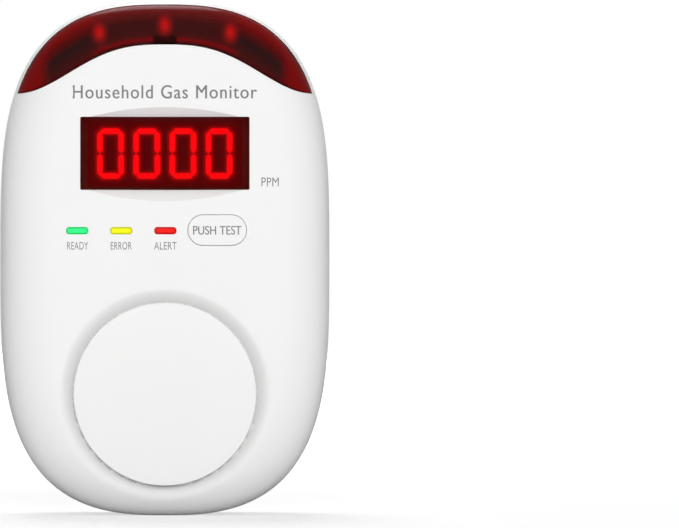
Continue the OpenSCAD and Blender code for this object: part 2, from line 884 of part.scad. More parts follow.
module plug_head() {
    color([0.91, 0.91, 0.9]) difference() {
        union() {
            rod(head_r, 0, lug_d - moving_gap);
            rod(head_neck_r, lug_d - moving_gap - join, tab_d + tab_t);
            for (turn = [0, 180]) turned(start = turn - tab_angle / 2, angle = tab_angle)
                translate([head_neck_r - over, tab_d]) square([head_r - head_neck_r + over, tab_t]);
        }
        turned() polygon([[0, -over], [plate_r + cone_w, -over], [plate_r + cone_w, 0],
            [plate_r, plate_sink], [0, plate_sink]]);
        difference() {
            rod(head_neck_r - wall, plate_sink + wall, tab_d + tab_t + over);
            block(blade_pitch + 2 * blade_wall, blade_h + blade_wall, plate_sink, blade_back_d);
        }
        for (side = [-1, 1])
            block(blade_t + thread_gap, blade_h + thread_gap, -over, blade_back_d + over,
                [side * blade_pitch / 2, 0]);
        prism(back_d - moving_gap, lug_d) rotate(pad_turn)
            translate([head_r - latch_notch, -neck_w / 2 - moving_gap])
            square([latch_notch + over, neck_w + 2 * moving_gap]);
    }
}

// two blades, each a flat bar that ends inside in a round stud
module plug_blades() {
    bevel = 0.4;
    color([0.8, 0.8, 0.8]) for (side = [-1, 1]) translate([side * blade_pitch / 2, 0, 0]) {
        block(blade_t, blade_h, -blade_length + bevel, blade_back_d);
        translate([0, 0, -blade_h / 2]) linear_extrude(blade_h)
            polygon([[-blade_t / 2, blade_length - bevel - thread_gap], [-blade_t / 2, blade_length - bevel],
                [bevel - blade_t / 2, blade_length], [blade_t / 2 - bevel, blade_length],
                [blade_t / 2, blade_length - bevel], [blade_t / 2, blade_length - bevel - thread_gap]]);
        rod(stud_r, blade_back_d, stud_end_d);
    }
}

// ---- release button ----

release_t = 1.6;
pad_flange_w = 0.9;
pad_flange_t = 1;
pin_r = 1.4;
flange_d = inner_back_d + moving_gap;
spring_top_d = flange_d + pad_flange_t;
pin_end_d = holder_d - pad_travel - working_gap;

// a disc under the pad, cut back where the collar reaches down beside it
module pad_segment(r) {
    difference() {
        translate([pad_x, pad_z]) circle(r = r);
        circle(r = collar_r + working_gap);
    }
}

module release_button() {
    color([0.93, 0.93, 0.92]) {
        prism(back_d, back_d + release_t) pad_outline(0, socket_r + moving_gap);
        prism(back_d + release_t - still_gap, spring_top_d) pad_segment(pad_r);
        prism(flange_d, spring_top_d) pad_segment(pad_r + pad_gap + pad_flange_w);
        rod(pin_r, spring_top_d - still_gap, pin_end_d, [pad_x, pad_z]);
    }
}

// a round wire that winds down from the pad to its seat
module release_spring() {
    wire_sides = 6;
    steps = 12;
    count = spring_turns * steps;
    r = (spring_od - spring_wire) / 2;
    d0 = spring_top_d + spring_wire / 2 + still_gap;
    d1 = holder_d - spring_wire / 2 - still_gap;
    points = [for (i = [0 : count]) for (k = [0 : wire_sides - 1])
        let (a = 360 * i / steps, b = 360 * k / wire_sides, rr = r + spring_wire / 2 * cos(b))
        [pad_x + rr * cos(a), -d0 - (d1 - d0) * i / count - spring_wire / 2 * sin(b), pad_z + rr * sin(a)]];
    faces = concat([[for (k = [0 : wire_sides - 1]) k]],
        [for (i = [0 : count - 1]) for (k = [0 : wire_sides - 1])
            let (a = i * wire_sides + k, b = i * wire_sides + (k + 1) % wire_sides)
            each [[a, a + wire_sides, b + wire_sides], [a, b + wire_sides, b]]],
        [[for (k = [wire_sides - 1 : -1 : 0]) count * wire_sides + k]]);
    color([0.7, 0.7, 0.72]) polyhedron(points = points, faces = faces);
}

// ---- screws and label ----

// a cross-shaped recess, as a flat outline
module cross_outline(w, t) {
    square([w, t], center = true);
    square([t, w], center = true);
}

cross_w = 3;
cross_slot = 0.8;
cross_d = 1.2;

module case_screw() {
    color([0.35, 0.35, 0.36]) difference() {
        union() {
            rod(screw_recess_r - moving_gap, screw_head_d, screw_head_d + screw_head_h, [0, screw_z]);
            rod(screw_r, screw_head_d + screw_head_h - still_gap, inner_face_d - working_gap, [0, screw_z]);
        }
        prism(screw_head_d - over, screw_head_d + cross_d) translate([0, screw_z])
            cross_outline(cross_w, cross_slot);
    }
}

board_head_r = 2.4;
board_head_h = 1.5;
board_cross_w = 2.4;
board_cross_slot = 0.6;
board_cross_d = 0.9;
board_screw_bite = 5;

module board_screws() {
    head_d = board_back_d - board_head_h;
    color([0.75, 0.75, 0.76]) for (at = board_screw_spots) difference() {
        union() {
            rod(board_head_r, head_d, board_back_d, at);
            rod(board_screw_r, board_back_d - still_gap, board_front_d + board_screw_bite, at);
        }
        prism(head_d - over, head_d + board_cross_d) translate(at)
            cross_outline(board_cross_w, board_cross_slot);
    }
}

module rating_label() {
    color([0.96, 0.96, 0.95]) prism(back_d, back_d + label_t) translate([0, label_z])
        square([label_w, label_h], center = true);
}

front_shell();
rear_shell();
alarm_lens();
lens_block();
display_window();
display_module();
display_segments();
green_indicator();
yellow_indicator();
red_indicator();
test_button();
switch_stem();
tact_switch();
circuit_board();
alarm_leds();
indicator_leds();
sounder_cup();
sounder_disc();
co_sensor();
sensor_filter();
microcontroller();
mains_capacitor();
electrolytic_capacitors();
varistor();
fuse();
transformer();
contact_holder();
plug_contacts();
plug_head();
plug_blades();
release_button();
release_spring();
case_screw();
board_screws();
rating_label();
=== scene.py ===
import math
import bmesh
import bpy
import numpy as np
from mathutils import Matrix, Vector


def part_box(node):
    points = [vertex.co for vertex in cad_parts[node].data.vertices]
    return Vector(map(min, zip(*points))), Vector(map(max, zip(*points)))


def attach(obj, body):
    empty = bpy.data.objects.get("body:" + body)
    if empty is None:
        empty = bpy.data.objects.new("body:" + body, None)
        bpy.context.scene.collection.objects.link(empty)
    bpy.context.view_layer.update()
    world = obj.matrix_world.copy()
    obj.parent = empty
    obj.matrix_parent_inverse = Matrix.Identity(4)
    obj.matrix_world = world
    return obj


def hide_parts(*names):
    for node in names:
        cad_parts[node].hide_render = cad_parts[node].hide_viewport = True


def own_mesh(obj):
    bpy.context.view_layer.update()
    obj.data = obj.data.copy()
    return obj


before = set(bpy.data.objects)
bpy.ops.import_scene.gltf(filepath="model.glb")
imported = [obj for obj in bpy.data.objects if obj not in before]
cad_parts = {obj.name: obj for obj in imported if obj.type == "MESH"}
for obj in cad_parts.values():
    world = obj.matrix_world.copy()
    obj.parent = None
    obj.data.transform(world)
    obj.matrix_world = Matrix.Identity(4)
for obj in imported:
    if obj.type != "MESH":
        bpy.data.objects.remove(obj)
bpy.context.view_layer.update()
mm = 0.001
print("frame loaded")


# a node's box in millimetres
def nodeBox(node):
    low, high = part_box(node)
    return np.array(low) / mm, np.array(high) / mm


def nodeMiddle(node):
    low, high = nodeBox(node)
    return (low + high) / 2


frontLow, frontHigh = nodeBox("front_shell")
windowMiddle = nodeMiddle("display_window")
buttonMiddle = nodeMiddle("test_button")
labelMiddle = nodeMiddle("rating_label")
caseScrewZ = nodeMiddle("case_screw")[2]
bladeLength = nodeBox("plug_blades")[1][1]

# all sizes are millimetres; a depth d runs from the wall towards the front and lies at y = -d
case = {
    "halfWidth": frontHigh[0],
    "halfHeight": (frontHigh[2] - frontLow[2]) / 2,
    "middleZ": (frontHigh[2] + frontLow[2]) / 2,
    "endPower": 2.7,
    "sidePower": 3.5,
    "wall": 2.0,
    "faceDepth": -frontLow[1] - 0.3,
    "partingDepth": 13.0,
    "backDepth": 4.0,
    "frontEdgeWide": 11.0,
    "frontEdgeDeep": 8.0,
    "shoulderSide": 5.3,
    "shoulderEnd": 8.0,
    "shoulderDeep": 5.0,
    "lapEndDepth": 9.6,
    "around": 480,
}
topZ = case["middleZ"] + case["halfHeight"]
bottomZ = case["middleZ"] - case["halfHeight"]
faceDepth = case["faceDepth"]
discZ = bottomZ + 24.4


# points at (x, -depth, z), from arrays and numbers that broadcast together
def places(x, depth, z):
    return np.stack(np.broadcast_arrays(x, -np.asarray(depth, float), z), -1)


# a new object in the scene
def placed(name, data):
    made = bpy.data.objects.new(name, data)
    bpy.context.collection.objects.link(made)
    return made


# a new mesh object from lists of points in millimetres
def newPiece(name, points, faces):
    mesh = bpy.data.meshes.new(name)
    mesh.from_pydata((np.concatenate(points) * mm).tolist(), [], faces)
    return cleaned(placed(name, mesh))


# quads between neighbouring rows and columns of a grid of points
def gridFaces(rows, columns, start, closed):
    i, j = np.meshgrid(np.arange(rows - 1), np.arange(columns if closed else columns - 1), indexing="ij")
    here, beside = i * columns + j, i * columns + (j + 1) % columns
    return np.stack([here, beside, beside + columns, here + columns], -1).reshape(-1, 4) + start


# a mesh from grids, each with closed columns or not, and from flat caps
def surfaceMesh(name, grids, caps=()):
    points, faces, start = [], [], 0
    for grid, closed in grids:
        rows, columns = grid.shape[:2]
        points.append(grid.reshape(-1, 3))
        faces += gridFaces(rows, columns, start, closed).tolist()
        start += rows * columns
    for cap in caps:
        points.append(cap)
        faces.append(list(range(start, start + len(cap))))
        start += len(cap)
    return newPiece(name, points, faces)


# merges doubled points and turns every face outwards
def cleaned(piece):
    work = bmesh.new()
    work.from_mesh(piece.data)
    bmesh.ops.remove_doubles(work, verts=work.verts, dist=0.0004 * mm)
    bmesh.ops.recalc_face_normals(work, faces=work.faces)
    work.to_mesh(piece.data)
    work.free()
    return piece


# smooth shading, with edges sharper than the angle kept crisp
def smoothed(piece, angle=32):
    piece.data.polygons.foreach_set("use_smooth", np.ones(len(piece.data.polygons), bool))
    piece.data.set_sharp_from_angle(angle=math.radians(angle))
    piece.data.update()
    return piece


# the piece's mesh with its modifiers or its lettering worked out
def workedOut(piece):
    bpy.context.view_layer.update()
    return bpy.data.meshes.new_from_object(piece.evaluated_get(bpy.context.evaluated_depsgraph_get()))


# an exact cut by another piece, which is used up
def carved(piece, cutter):
    modifier = piece.modifiers.new("carve", "BOOLEAN")
    modifier.operation = "DIFFERENCE"
    modifier.solver = "EXACT"
    modifier.object = cutter
    result = workedOut(piece)
    piece.modifiers.clear()
    piece.data = result
    bpy.data.objects.remove(cutter)
    return piece


# several pieces as one mesh
def joined(name, pieces):
    work = bmesh.new()
    for piece in pieces:
        work.from_mesh(piece.data)
    mesh = bpy.data.meshes.new(name)
    work.to_mesh(mesh)
    work.free()
    for piece in pieces:
        bpy.data.objects.remove(piece)
    return placed(name, mesh)


# gives a finished piece its material and its body, and hides the nodes it stands for
def settled(piece, body, material, replaced=()):
    piece.data.materials.clear()
    piece.data.materials.append(material)
    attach(piece, body)
    if replaced:
        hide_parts(*replaced)
    return piece


# x = a sgn(cos t) |cos t|^(2/p), z = b sgn(sin t) |sin t|^(2/q)
def roundedOutline(t, a, b):
    x = a * np.sign(np.cos(t)) * np.abs(np.cos(t)) ** (2 / case["endPower"])
    return x, b * np.sign(np.sin(t)) * np.abs(np.sin(t)) ** (2 / case["sidePower"])


# angles spaced evenly along the outline's length
def evenAngles(count):
    fine = np.linspace(0, 2 * np.pi, 20001)
    x, z = roundedOutline(fine, case["halfWidth"], case["halfHeight"])
    run = np.concatenate([[0], np.cumsum(np.hypot(np.diff(x), np.diff(z)))])
    return np.interp(np.arange(count) * run[-1] / count, run, fine)


caseAngles = evenAngles(case["around"])


# rings of the case, from rows of (inset from the sides, inset from the ends, depth)
def caseRings(rows):
    rows = np.array(rows, float)
    a, b = case["halfWidth"] - rows[:, :1], case["halfHeight"] - rows[:, 1:2]
    x, z = roundedOutline(caseAngles[None], a, b)
    return places(x, rows[:, 2:], z + case["middleZ"])


# the front's rounded edge: a quarter ellipse from the wall up to the flat face, set in by skin
def frontEdge(skin, steps):
    t = np.radians(np.linspace(90, 0, steps + 1))
    inset = skin + (case["frontEdgeWide"] - skin) * (1 - np.sin(t))
    return np.stack([inset, inset, faceDepth - skin - (case["frontEdgeDeep"] - skin) * (1 - np.cos(t))], -1)


# the back's shoulder: a quarter ellipse from the back face down to the wall, set in by skin
def backShoulder(skin, steps):
    t = np.radians(np.linspace(0, 90, steps + 1))
    wide = 1 - np.sin(t)
    return np.stack([skin + (case["shoulderSide"] - skin) * wide, skin + (case["shoulderEnd"] - skin) * wide,
                     case["backDepth"] + skin + (case["shoulderDeep"] - skin) * (1 - np.cos(t))], -1)


# how far in from the outline a point lies, found by halving, up to the rounded edge's width
def insetOf(x, z):
    low, high = np.zeros_like(x), np.full_like(x, case["frontEdgeWide"])
    for halving in range(36):
        tried = (low + high) / 2
        outside = (np.abs(x / (case["halfWidth"] - tried)) ** case["endPower"]
                   + np.abs((z - case["middleZ"]) / (case["halfHeight"] - tried)) ** case["sidePower"]) > 1
        high = np.where(outside, tried, high)
        low = np.where(outside, low, tried)
    return low


# depth of the front's surface: flat in the middle, then the quarter ellipse
def frontDepth(x, z):
    along = 1 - insetOf(x, z) / case["frontEdgeWide"]
    return faceDepth - case["frontEdgeDeep"] * (1 - np.sqrt(np.clip(1 - along ** 2, 0, 1)))


# a smooth step from 0 to 1: 3s^2 - 2s^3
def smoothStep(value, start, end):
    s = np.clip((value - start) / (end - start), 0, 1)
    return s * s * (3 - 2 * s)


# a closed prism from a flat outline, between two depths
def prism(name, outline, depth0, depth1):
    x, z = outline
    rows = [places(x, depth, z) for depth in (depth0, depth1)]
    return surfaceMesh(name, [(np.stack(rows), True)], [rows[0][::-1], rows[1]])


# a plate from outlines that shrink over its edges: outline(inset) gives x and z, edges are
# (inset, depth) rows, and a last narrow ring keeps the flat face flat up to its edge
def softPlate(name, outline, edges):
    rows, flatRing = [], 0.02
    for inset, depth in list(edges) + [(edges[-1][0] + flatRing, edges[-1][1])]:
        x, z = outline(inset)
        rows.append(places(x, depth, z))
    return surfaceMesh(name, [(np.stack(rows), True)], [rows[0][::-1], rows[-1]])


# a shape turned about a line along y, from a profile of (radius, depth) points
def turned(name, profile, at=(0, 0), around=96, closedProfile=False):
    profile = np.array(profile, float)
    if closedProfile:
        profile = np.concatenate([profile, profile[:1]])
    t = np.arange(around) * 2 * np.pi / around
    r = profile[:, :1]
    grid = places(at[0] + r * np.cos(t), profile[:, 1:], at[1] + r * np.sin(t))
    return surfaceMesh(name, [(grid, True)])


# part of a ring with a square section, centred on a direction in degrees
def ringPart(name, r0, r1, depth0, depth1, middle, angle, steps=24):
    t = np.radians(np.linspace(middle - angle / 2, middle + angle / 2, steps + 1))[:, None]
    r = np.array([r0, r1, r1, r0])
    grid = places(r * np.cos(t), [depth0, depth0, depth1, depth1], r * np.sin(t))
    return surfaceMesh(name, [(grid, True)], [grid[0], grid[-1]])


# points round a corner of a (radius, depth) profile, between two angles in degrees
def arc(centreR, centreDepth, radius, start, end, steps=6):
    t = np.radians(np.linspace(start, end, steps + 1))
    return np.stack([centreR + radius * np.cos(t), centreDepth + radius * np.sin(t)], -1).tolist()


# (inset, depth) rows that round a plate's edge up to its front face
def roundedEdge(radius, depth, steps=5):
    t = np.radians(np.linspace(0, 90, steps + 1))
    return np.stack([radius * (1 - np.cos(t)), depth - radius * (1 - np.sin(t))], -1).tolist()


# a bar with round ends, as a flat outline
def barOutline(centreX, centreZ, width, height, steps=20):
    t = np.radians(np.linspace(-90, 90, steps + 1))
    x = width / 2 - height / 2 + height / 2 * np.cos(t)
    z = height / 2 * np.sin(t)
    return np.concatenate([x, -x]) + centreX, np.concatenate([z, -z]) + centreZ


# a rectangle with rounded corners, as a flat outline
def cornerOutline(centreX, centreZ, width, height, radius, steps=5):
    t = np.radians(np.linspace(0, 90, steps + 1))
    x, z = width / 2 - radius + radius * np.cos(t), height / 2 - radius + radius * np.sin(t)
    return (np.concatenate([x, -x[::-1], -x, x[::-1]]) + centreX,
            np.concatenate([z, z[::-1], -z, -z[::-1]]) + centreZ)


def setInputs(node, values):
    for label, value in values.items():
        node.inputs[label].default_value = value


# fine moulding grain and slow mottling: two sizes of noise on one vector
def mouldedGrainGroup():
    group = bpy.data.node_groups.new("mouldedGrain", "ShaderNodeTree")
    group.interface.new_socket("Vector", in_out="INPUT", socket_type="NodeSocketVector")
    for label in ("Grain", "Mottle"):
        group.interface.new_socket(label + " Scale", in_out="INPUT", socket_type="NodeSocketFloat")
        group.interface.new_socket(label, in_out="OUTPUT", socket_type="NodeSocketFloat")
    inside, outside = group.nodes.new("NodeGroupInput"), group.nodes.new("NodeGroupOutput")
    for label, detail in (("Grain", 3), ("Mottle", 2)):
        noise = group.nodes.new("ShaderNodeTexNoise")
        noise.inputs["Detail"].default_value = detail
        group.links.new(inside.outputs["Vector"], noise.inputs["Vector"])
        group.links.new(inside.outputs[label + " Scale"], noise.inputs["Scale"])
        group.links.new(noise.outputs["Fac"], outside.inputs[label])
    return group


grainGroup = mouldedGrainGroup()


# two close colours mixed by the mottling, a roughness that wanders with it, and a fine bump;
# tone names an attribute that multiplies the colour, which holds painted shade and painted highlights, and
# glow is a colour or "painted"
def grained(name, colour, darker=0.94, rough=(0.35, 0.45), bump=0.06, grain=3000, mottle=60, metal=0.0,
            glow=None, glowStrength=1.0, shine=0.5, tone=None, alpha=1.0):
    material = bpy.data.materials.new(name)
    material.use_nodes = True
    nodes, links = material.node_tree.nodes, material.node_tree.links
    shader = nodes["Principled BSDF"]

    def painted(attribute):
        node = nodes.new("ShaderNodeAttribute")
        node.attribute_name = attribute
        return node.outputs["Color"]

    place = nodes.new("ShaderNodeTexCoord")
    group = nodes.new("ShaderNodeGroup")
    group.node_tree = grainGroup
    setInputs(group, {"Grain Scale": grain, "Mottle Scale": mottle})
    links.new(place.outputs["Object"], group.inputs["Vector"])
    mix = nodes.new("ShaderNodeMix")
    mix.data_type = "RGBA"
    setInputs(mix, {"A": (*colour, 1), "B": (*[c * darker for c in colour], 1)})
    links.new(group.outputs["Mottle"], mix.inputs["Factor"])
    surface = mix
    if tone:
        surface = nodes.new("ShaderNodeMix")
        surface.data_type = "RGBA"
        surface.blend_type = "MULTIPLY"
        surface.inputs["Factor"].default_value = 1
        links.new(painted(tone), surface.inputs["A"])
        links.new(mix.outputs["Result"], surface.inputs["B"])
    links.new(surface.outputs["Result"], shader.inputs["Base Color"])
    spread = nodes.new("ShaderNodeMapRange")
    setInputs(spread, {"From Min": 0.3, "From Max": 0.7, "To Min": rough[0], "To Max": rough[1]})
    links.new(group.outputs["Mottle"], spread.inputs["Value"])
    links.new(spread.outputs["Result"], shader.inputs["Roughness"])
    relief = nodes.new("ShaderNodeBump")
    setInputs(relief, {"Strength": bump, "Distance": 0.1 * mm})
    links.new(group.outputs["Grain"], relief.inputs["Height"])
    links.new(relief.outputs["Normal"], shader.inputs["Normal"])
    setInputs(shader, {"Metallic": metal, "Specular IOR Level": shine, "Alpha": alpha})
    if glow:
        shader.inputs["Emission Strength"].default_value = glowStrength
    if glow == "painted":
        links.new(painted("glow"), shader.inputs["Emission Color"])
    elif glow:
        shader.inputs["Emission Color"].default_value = (*glow, 1)
    return material


# a colour attribute on the points, from a row of greys or rows of colours
def paint(piece, attribute, colours):
    layer = piece.data.attributes.new(attribute, "FLOAT_COLOR", "POINT")
    rgba = np.ones((len(colours), 4), np.float32)
    rgba[:, :3] = colours if colours.ndim == 2 else colours[:, None]
    layer.data.foreach_set("color", rgba.ravel())


# the places of a piece's points, in millimetres
def pointsOf(piece):
    points = np.empty(len(piece.data.vertices) * 3, np.float32)
    piece.data.vertices.foreach_get("co", points)
    return points.reshape(-1, 3) / mm


# screen values of 0 to 255 as linear light
def linear(values):
    v = np.asarray(values, float) / 255
    return np.where(v <= 0.04045, v / 12.92, ((v + 0.055) / 1.055) ** 2.4)


white = (0.86, 0.86, 0.857)
finishes = {
    "front_plastic": grained("whiteSatinPlastic", white, 0.985, (0.38, 0.46), shine=0.4),
    "shell_plastic": grained("whiteShellPlastic", white, 0.985, (0.38, 0.46), shine=0.4, tone="tone"),
    "rear_plastic": grained("whiteBackPlastic", white, 0.985, (0.4, 0.5), shine=0.35, tone="tone"),
    "plug_plastic": grained("whitePlugPlastic", (0.86, 0.86, 0.85), 0.985, (0.34, 0.42), shine=0.4),
    "black_plastic": grained("blackPlastic", (0.012, 0.012, 0.013), 0.7, (0.4, 0.55)),
    "led_epoxy": grained("redLampEpoxy", (0.5, 0.01, 0.01), 0.9, (0.1, 0.15), 0.01,
                         glow=(1.0, 0.01, 0.012), glowStrength=1.9),
    "led_ceramic": grained("lampCeramic", (0.85, 0.85, 0.78), 0.9, (0.4, 0.5)),
    "sounder_brass": grained("sounderBrass", (0.72, 0.52, 0.2), 0.85, (0.25, 0.35), 0.05, 1500, 90, 1.0),
    "sensor_steel": grained("sensorSteel", (0.6, 0.6, 0.61), 0.9, (0.25, 0.4), 0.05, 2000, 90, 1.0),
    "filter_disc": grained("filterFibre", (0.8, 0.79, 0.72), 0.8, (0.8, 0.95), 0.5, 1800, 300),
    "chip_epoxy": grained("chipEpoxy", (0.014, 0.014, 0.016), 0.7, (0.5, 0.65)),
    "yellow_plastic": grained("capacitorYellow", (0.7, 0.5, 0.04), 0.9, (0.3, 0.4)),
    "can_sleeve": grained("canSleeve", (0.015, 0.015, 0.04), 0.7, (0.2, 0.3)),
    "blue_epoxy": grained("varistorBlue", (0.02, 0.06, 0.35), 0.85, (0.2, 0.35), 0.2, 900),
    "fuse_ceramic": grained("fuseCeramic", (0.78, 0.77, 0.7), 0.93, (0.5, 0.6)),
    "ferrite": grained("ferrite", (0.045, 0.04, 0.036), 0.7, (0.6, 0.75), 0.3, 1500),
    "holder_plastic": grained("holderCream", (0.7, 0.65, 0.5), 0.95, (0.4, 0.5)),
    "contact_brass": grained("contactBrass", (0.78, 0.56, 0.22), 0.85, (0.2, 0.35), 0.05, 1500, 90, 1.0),
    "tinned_steel": grained("tinnedSteel", (0.65, 0.65, 0.66), 0.88, (0.25, 0.4), 0.05, 2000, 120, 1.0),
    "spring_steel": grained("springSteel", (0.55, 0.55, 0.57), 0.88, (0.2, 0.3), 0.05, 2000, 120, 1.0),
    "dark_screw": grained("darkScrewHead", (0.36, 0.36, 0.365), 0.7, (0.3, 0.42), 0.25, 2500, 400, 0.6,
                          tone="tone"),
    "blade_nickel": grained("bladeNickel", (0.86, 0.855, 0.84), 0.88, (0.1, 0.24), 0.3, 900, 260, 1.0),
    "label_film": grained("labelFilm", (0.875, 0.875, 0.872), 0.99, (0.4, 0.46), 0.02, shine=0.25),
    "board_laminate": grained("boardLaminate", (0.02, 0.16, 0.07), 0.6, (0.25, 0.4), 0.25, 700, 500),
    "lit_segments": grained("litSegments", (0.2, 0.002, 0.002), 0.95, (0.5, 0.6), 0.02,
                            glow=(1.0, 0.002, 0.004), glowStrength=3.7, shine=0.05),
    "red_lens": grained("deepRedLens", (1.0, 1.0, 1.0), 0.96, (0.1, 0.16), 0.01, shine=0.04,
                        glow="painted", tone="tone", alpha=0.9),
    "dark_red_window": grained("darkRedPane", (0.088, 0.0006, 0.0012), 0.95, (0.12, 0.18), 0.01,
                               shine=0.04, alpha=0.5),
    "module_face": grained("moduleFace", (0.02, 0.001, 0.001), 0.8, (0.4, 0.5), glow="painted", shine=0.05),
    "grey_ink": grained("greyInk", (0.21, 0.21, 0.212), 0.9, (0.4, 0.5), 0.05, 4000, 500, shine=0.3),
    "black_ink": grained("blackInk", (0.012, 0.012, 0.013), 0.85, (0.4, 0.5), 0.05, 4000, 500, shine=0.3),
}
print("finishes made")

# the front shell, with the opening for the lens
lensCut = {"rim": 0.7, "gap": 0.1, "height": 8.0, "drop": 18.4, "reach": 29.4, "fall": 1.375, "skirt": 8.2}
lensTipZ = topZ - lensCut["drop"]


# the lens's lower edge: a cosine wave, high in the middle and flat at the tips
def lensEdge(x):
    rise = lensCut["drop"] - lensCut["rim"] - lensCut["height"]
    share = np.minimum(1, np.abs(x) / lensCut["reach"]) ** lensCut["fall"]
    return lensTipZ + rise * (1 + np.cos(np.pi * share)) / 2


# the lens's two edges, from tip to tip: the wave, and the case's outline set in by rim
def lensEdges(rim, grow, count):
    a, b = case["halfWidth"] - rim, case["halfHeight"] - rim
    low, high = 0.0, np.pi / 2
    for halving in range(50):
        middle = (low + high) / 2
        x, z = roundedOutline(np.array([middle]), a, b)
        above = z[0] + case["middleZ"] > lensEdge(x[0]) - grow
        low, high = (low, middle) if above else (middle, high)
    x, z = roundedOutline(np.linspace(np.pi - high, high, 4001), a, b)
    run = np.concatenate([[0], np.cumsum(np.hypot(np.diff(x), np.diff(z)))])
    share = np.linspace(0, run[-1], count)
    upper = np.stack([np.interp(share, run, x), np.interp(share, run, z) + case["middleZ"]], -1)
    lowX = np.linspace(upper[0, 0], upper[-1, 0], count)
    lower = np.stack([lowX, lensEdge(lowX) - grow], -1)
    lower[0], lower[-1] = upper[0], upper[-1]
    return lower, upper


# the prism that cuts the lens's opening, a gap larger than the lens
def lensOpening():
    lower, upper = lensEdges(lensCut["rim"] - lensCut["gap"], lensCut["gap"], 161)
    outline = np.concatenate([lower, upper[::-1][1:-1]])
    return prism("lensOpening", outline.T, faceDepth - lensCut["skirt"] - lensCut["gap"], faceDepth + 3)


frontForm = {
    "domeSteps": 24, "faceRings": 66, "rimBevel": 0.25, "gap": 0.1, "lapInset": 1.1, "cutDeep": 4.0,
    "grooveDeep": 1.65, "grooveInner": 18.3, "grooveOuter": 21.0, "groovePower": 1.25, "grooveShade": 0.34,
    "discRadius": 18.25, "discProud": 0.3, "discEdge": 0.22, "discThick": 1.9,
    "scoopDeep": 1.75, "scoopStep": 0.12, "scoopOverlap": 0.05, "scoopPower": 0.7,
    "scoopAbove": {"rise": 1.95, "wide": 30.2, "side": 1},
    "scoopBelow": {"rise": 2.35, "wide": 31.6, "side": -1},
    "notchDrops": (39.5, 43.4), "notchHigh": 1.6, "notchDeep": 0.4, "notchLong": 2.5,
    "bossRadius": 2.5, "boardScrewRadius": 1.15, "caseBossRadius": 3.2, "caseScrewRadius": 1.55,
    "boardScrewX": 25.0, "boardScrewDrop": 24.0, "boardScrewRise": 33.0, "boardFrontDepth": 22.8,
}
windowWide, windowTall, windowCorner = 33.6, 14.4, 0.25
indicators = {"width": 4.25, "height": 1.3, "corner": 0.5, "z": topZ - 45.95, "pitch": 8.8, "lastX": 0.1,
              "edge": 0.16, "border": 0.3, "borderGlow": 0.5, "back": 24.2, "flange": 0.5, "flangeBack": 3.0}
button = {"width": 11.7, "height": 6.1, "edge": 0.22, "proud": 0.27, "flange": 1.0, "flangeThick": 1.0,
          "flangeClear": 0.2, "plunger": 1.85, "plungerEdge": 0.15, "plungerEnd": 28.1}
boardScrewSpots = [(side * frontForm["boardScrewX"], z) for side in (-1, 1)
                   for z in (topZ - frontForm["boardScrewDrop"], bottomZ + frontForm["boardScrewRise"])]


# the groove's depth: a power curve from its outer edge, growing steeper up to the disc
def grooveDepth(x, z):
    r, f = np.hypot(x, z - discZ), frontForm
    share = np.clip((f["grooveOuter"] - r) / (f["grooveOuter"] - f["grooveInner"]), 0, 1)
    return f["grooveDeep"] * share ** f["groovePower"]


# the shell is one set of rings from the inner face's middle, round the rim, to the outer face's middle
def frontBody():
    wall, edge, bevel = case["wall"], case["frontEdgeWide"], frontForm["rimBevel"]
    lapInset, rim = frontForm["lapInset"], case["partingDepth"] + frontForm["gap"]
    innerFace = [(i, i, faceDepth - wall) for i in np.linspace(case["halfWidth"], edge, 9)[:-1]]
    inner = frontEdge(wall, 12)[::-1].tolist()
    lap = [(wall, wall, 18), (wall, wall, case["lapEndDepth"]), (lapInset, lapInset, case["lapEndDepth"]),
           (lapInset, lapInset, rim), (bevel, bevel, rim), (0, 0, rim + bevel), (0, 0, 17), (0, 0, 21.5)]
    outer = frontEdge(0, frontForm["domeSteps"]).tolist()
    face = [(i, i, faceDepth) for i in np.linspace(edge, case["halfWidth"], frontForm["faceRings"] + 1)[1:]]
    rings = caseRings(innerFace + inner + lap + outer + face)
    outside = len(innerFace) + len(inner) + len(lap)
    rings[outside:, :, 1] += grooveDepth(rings[outside:, :, 0], rings[outside:, :, 2])
    return surfaceMesh("frontBody", [(rings, True)])


# a scoop's cutter: straight lines from the window's edge, deep, to an arc of a large circle, shallow
def scoopCutter(scoop):
    rise, wide, step = scoop["rise"], scoop["wide"], frontForm["scoopStep"]
    x = np.linspace(-wide / 2, wide / 2, 121)
    radius = (wide ** 2 / 4 + rise ** 2) / (2 * rise)
    height = np.maximum(np.sqrt(radius ** 2 - x ** 2) - (radius - rise), 0)
    w = np.linspace(0, 1, 9)[:, None]
    z = windowTall / 2 - frontForm["scoopOverlap"] + w * (height + frontForm["scoopOverlap"])
    deep = step + (frontForm["scoopDeep"] - step) * (1 - w) * (height / rise) ** frontForm["scoopPower"]
    floor = places(x, faceDepth - deep, windowMiddle[2] + scoop["side"] * z)
    roof = floor[::-1].copy()
    roof[:, :, 1] = -faceDepth - 1
    loop = np.concatenate([floor, roof, floor[:1]])
    return surfaceMesh("scoop", [(loop, False)], [loop[:-1, 0], loop[:-1, -1]])


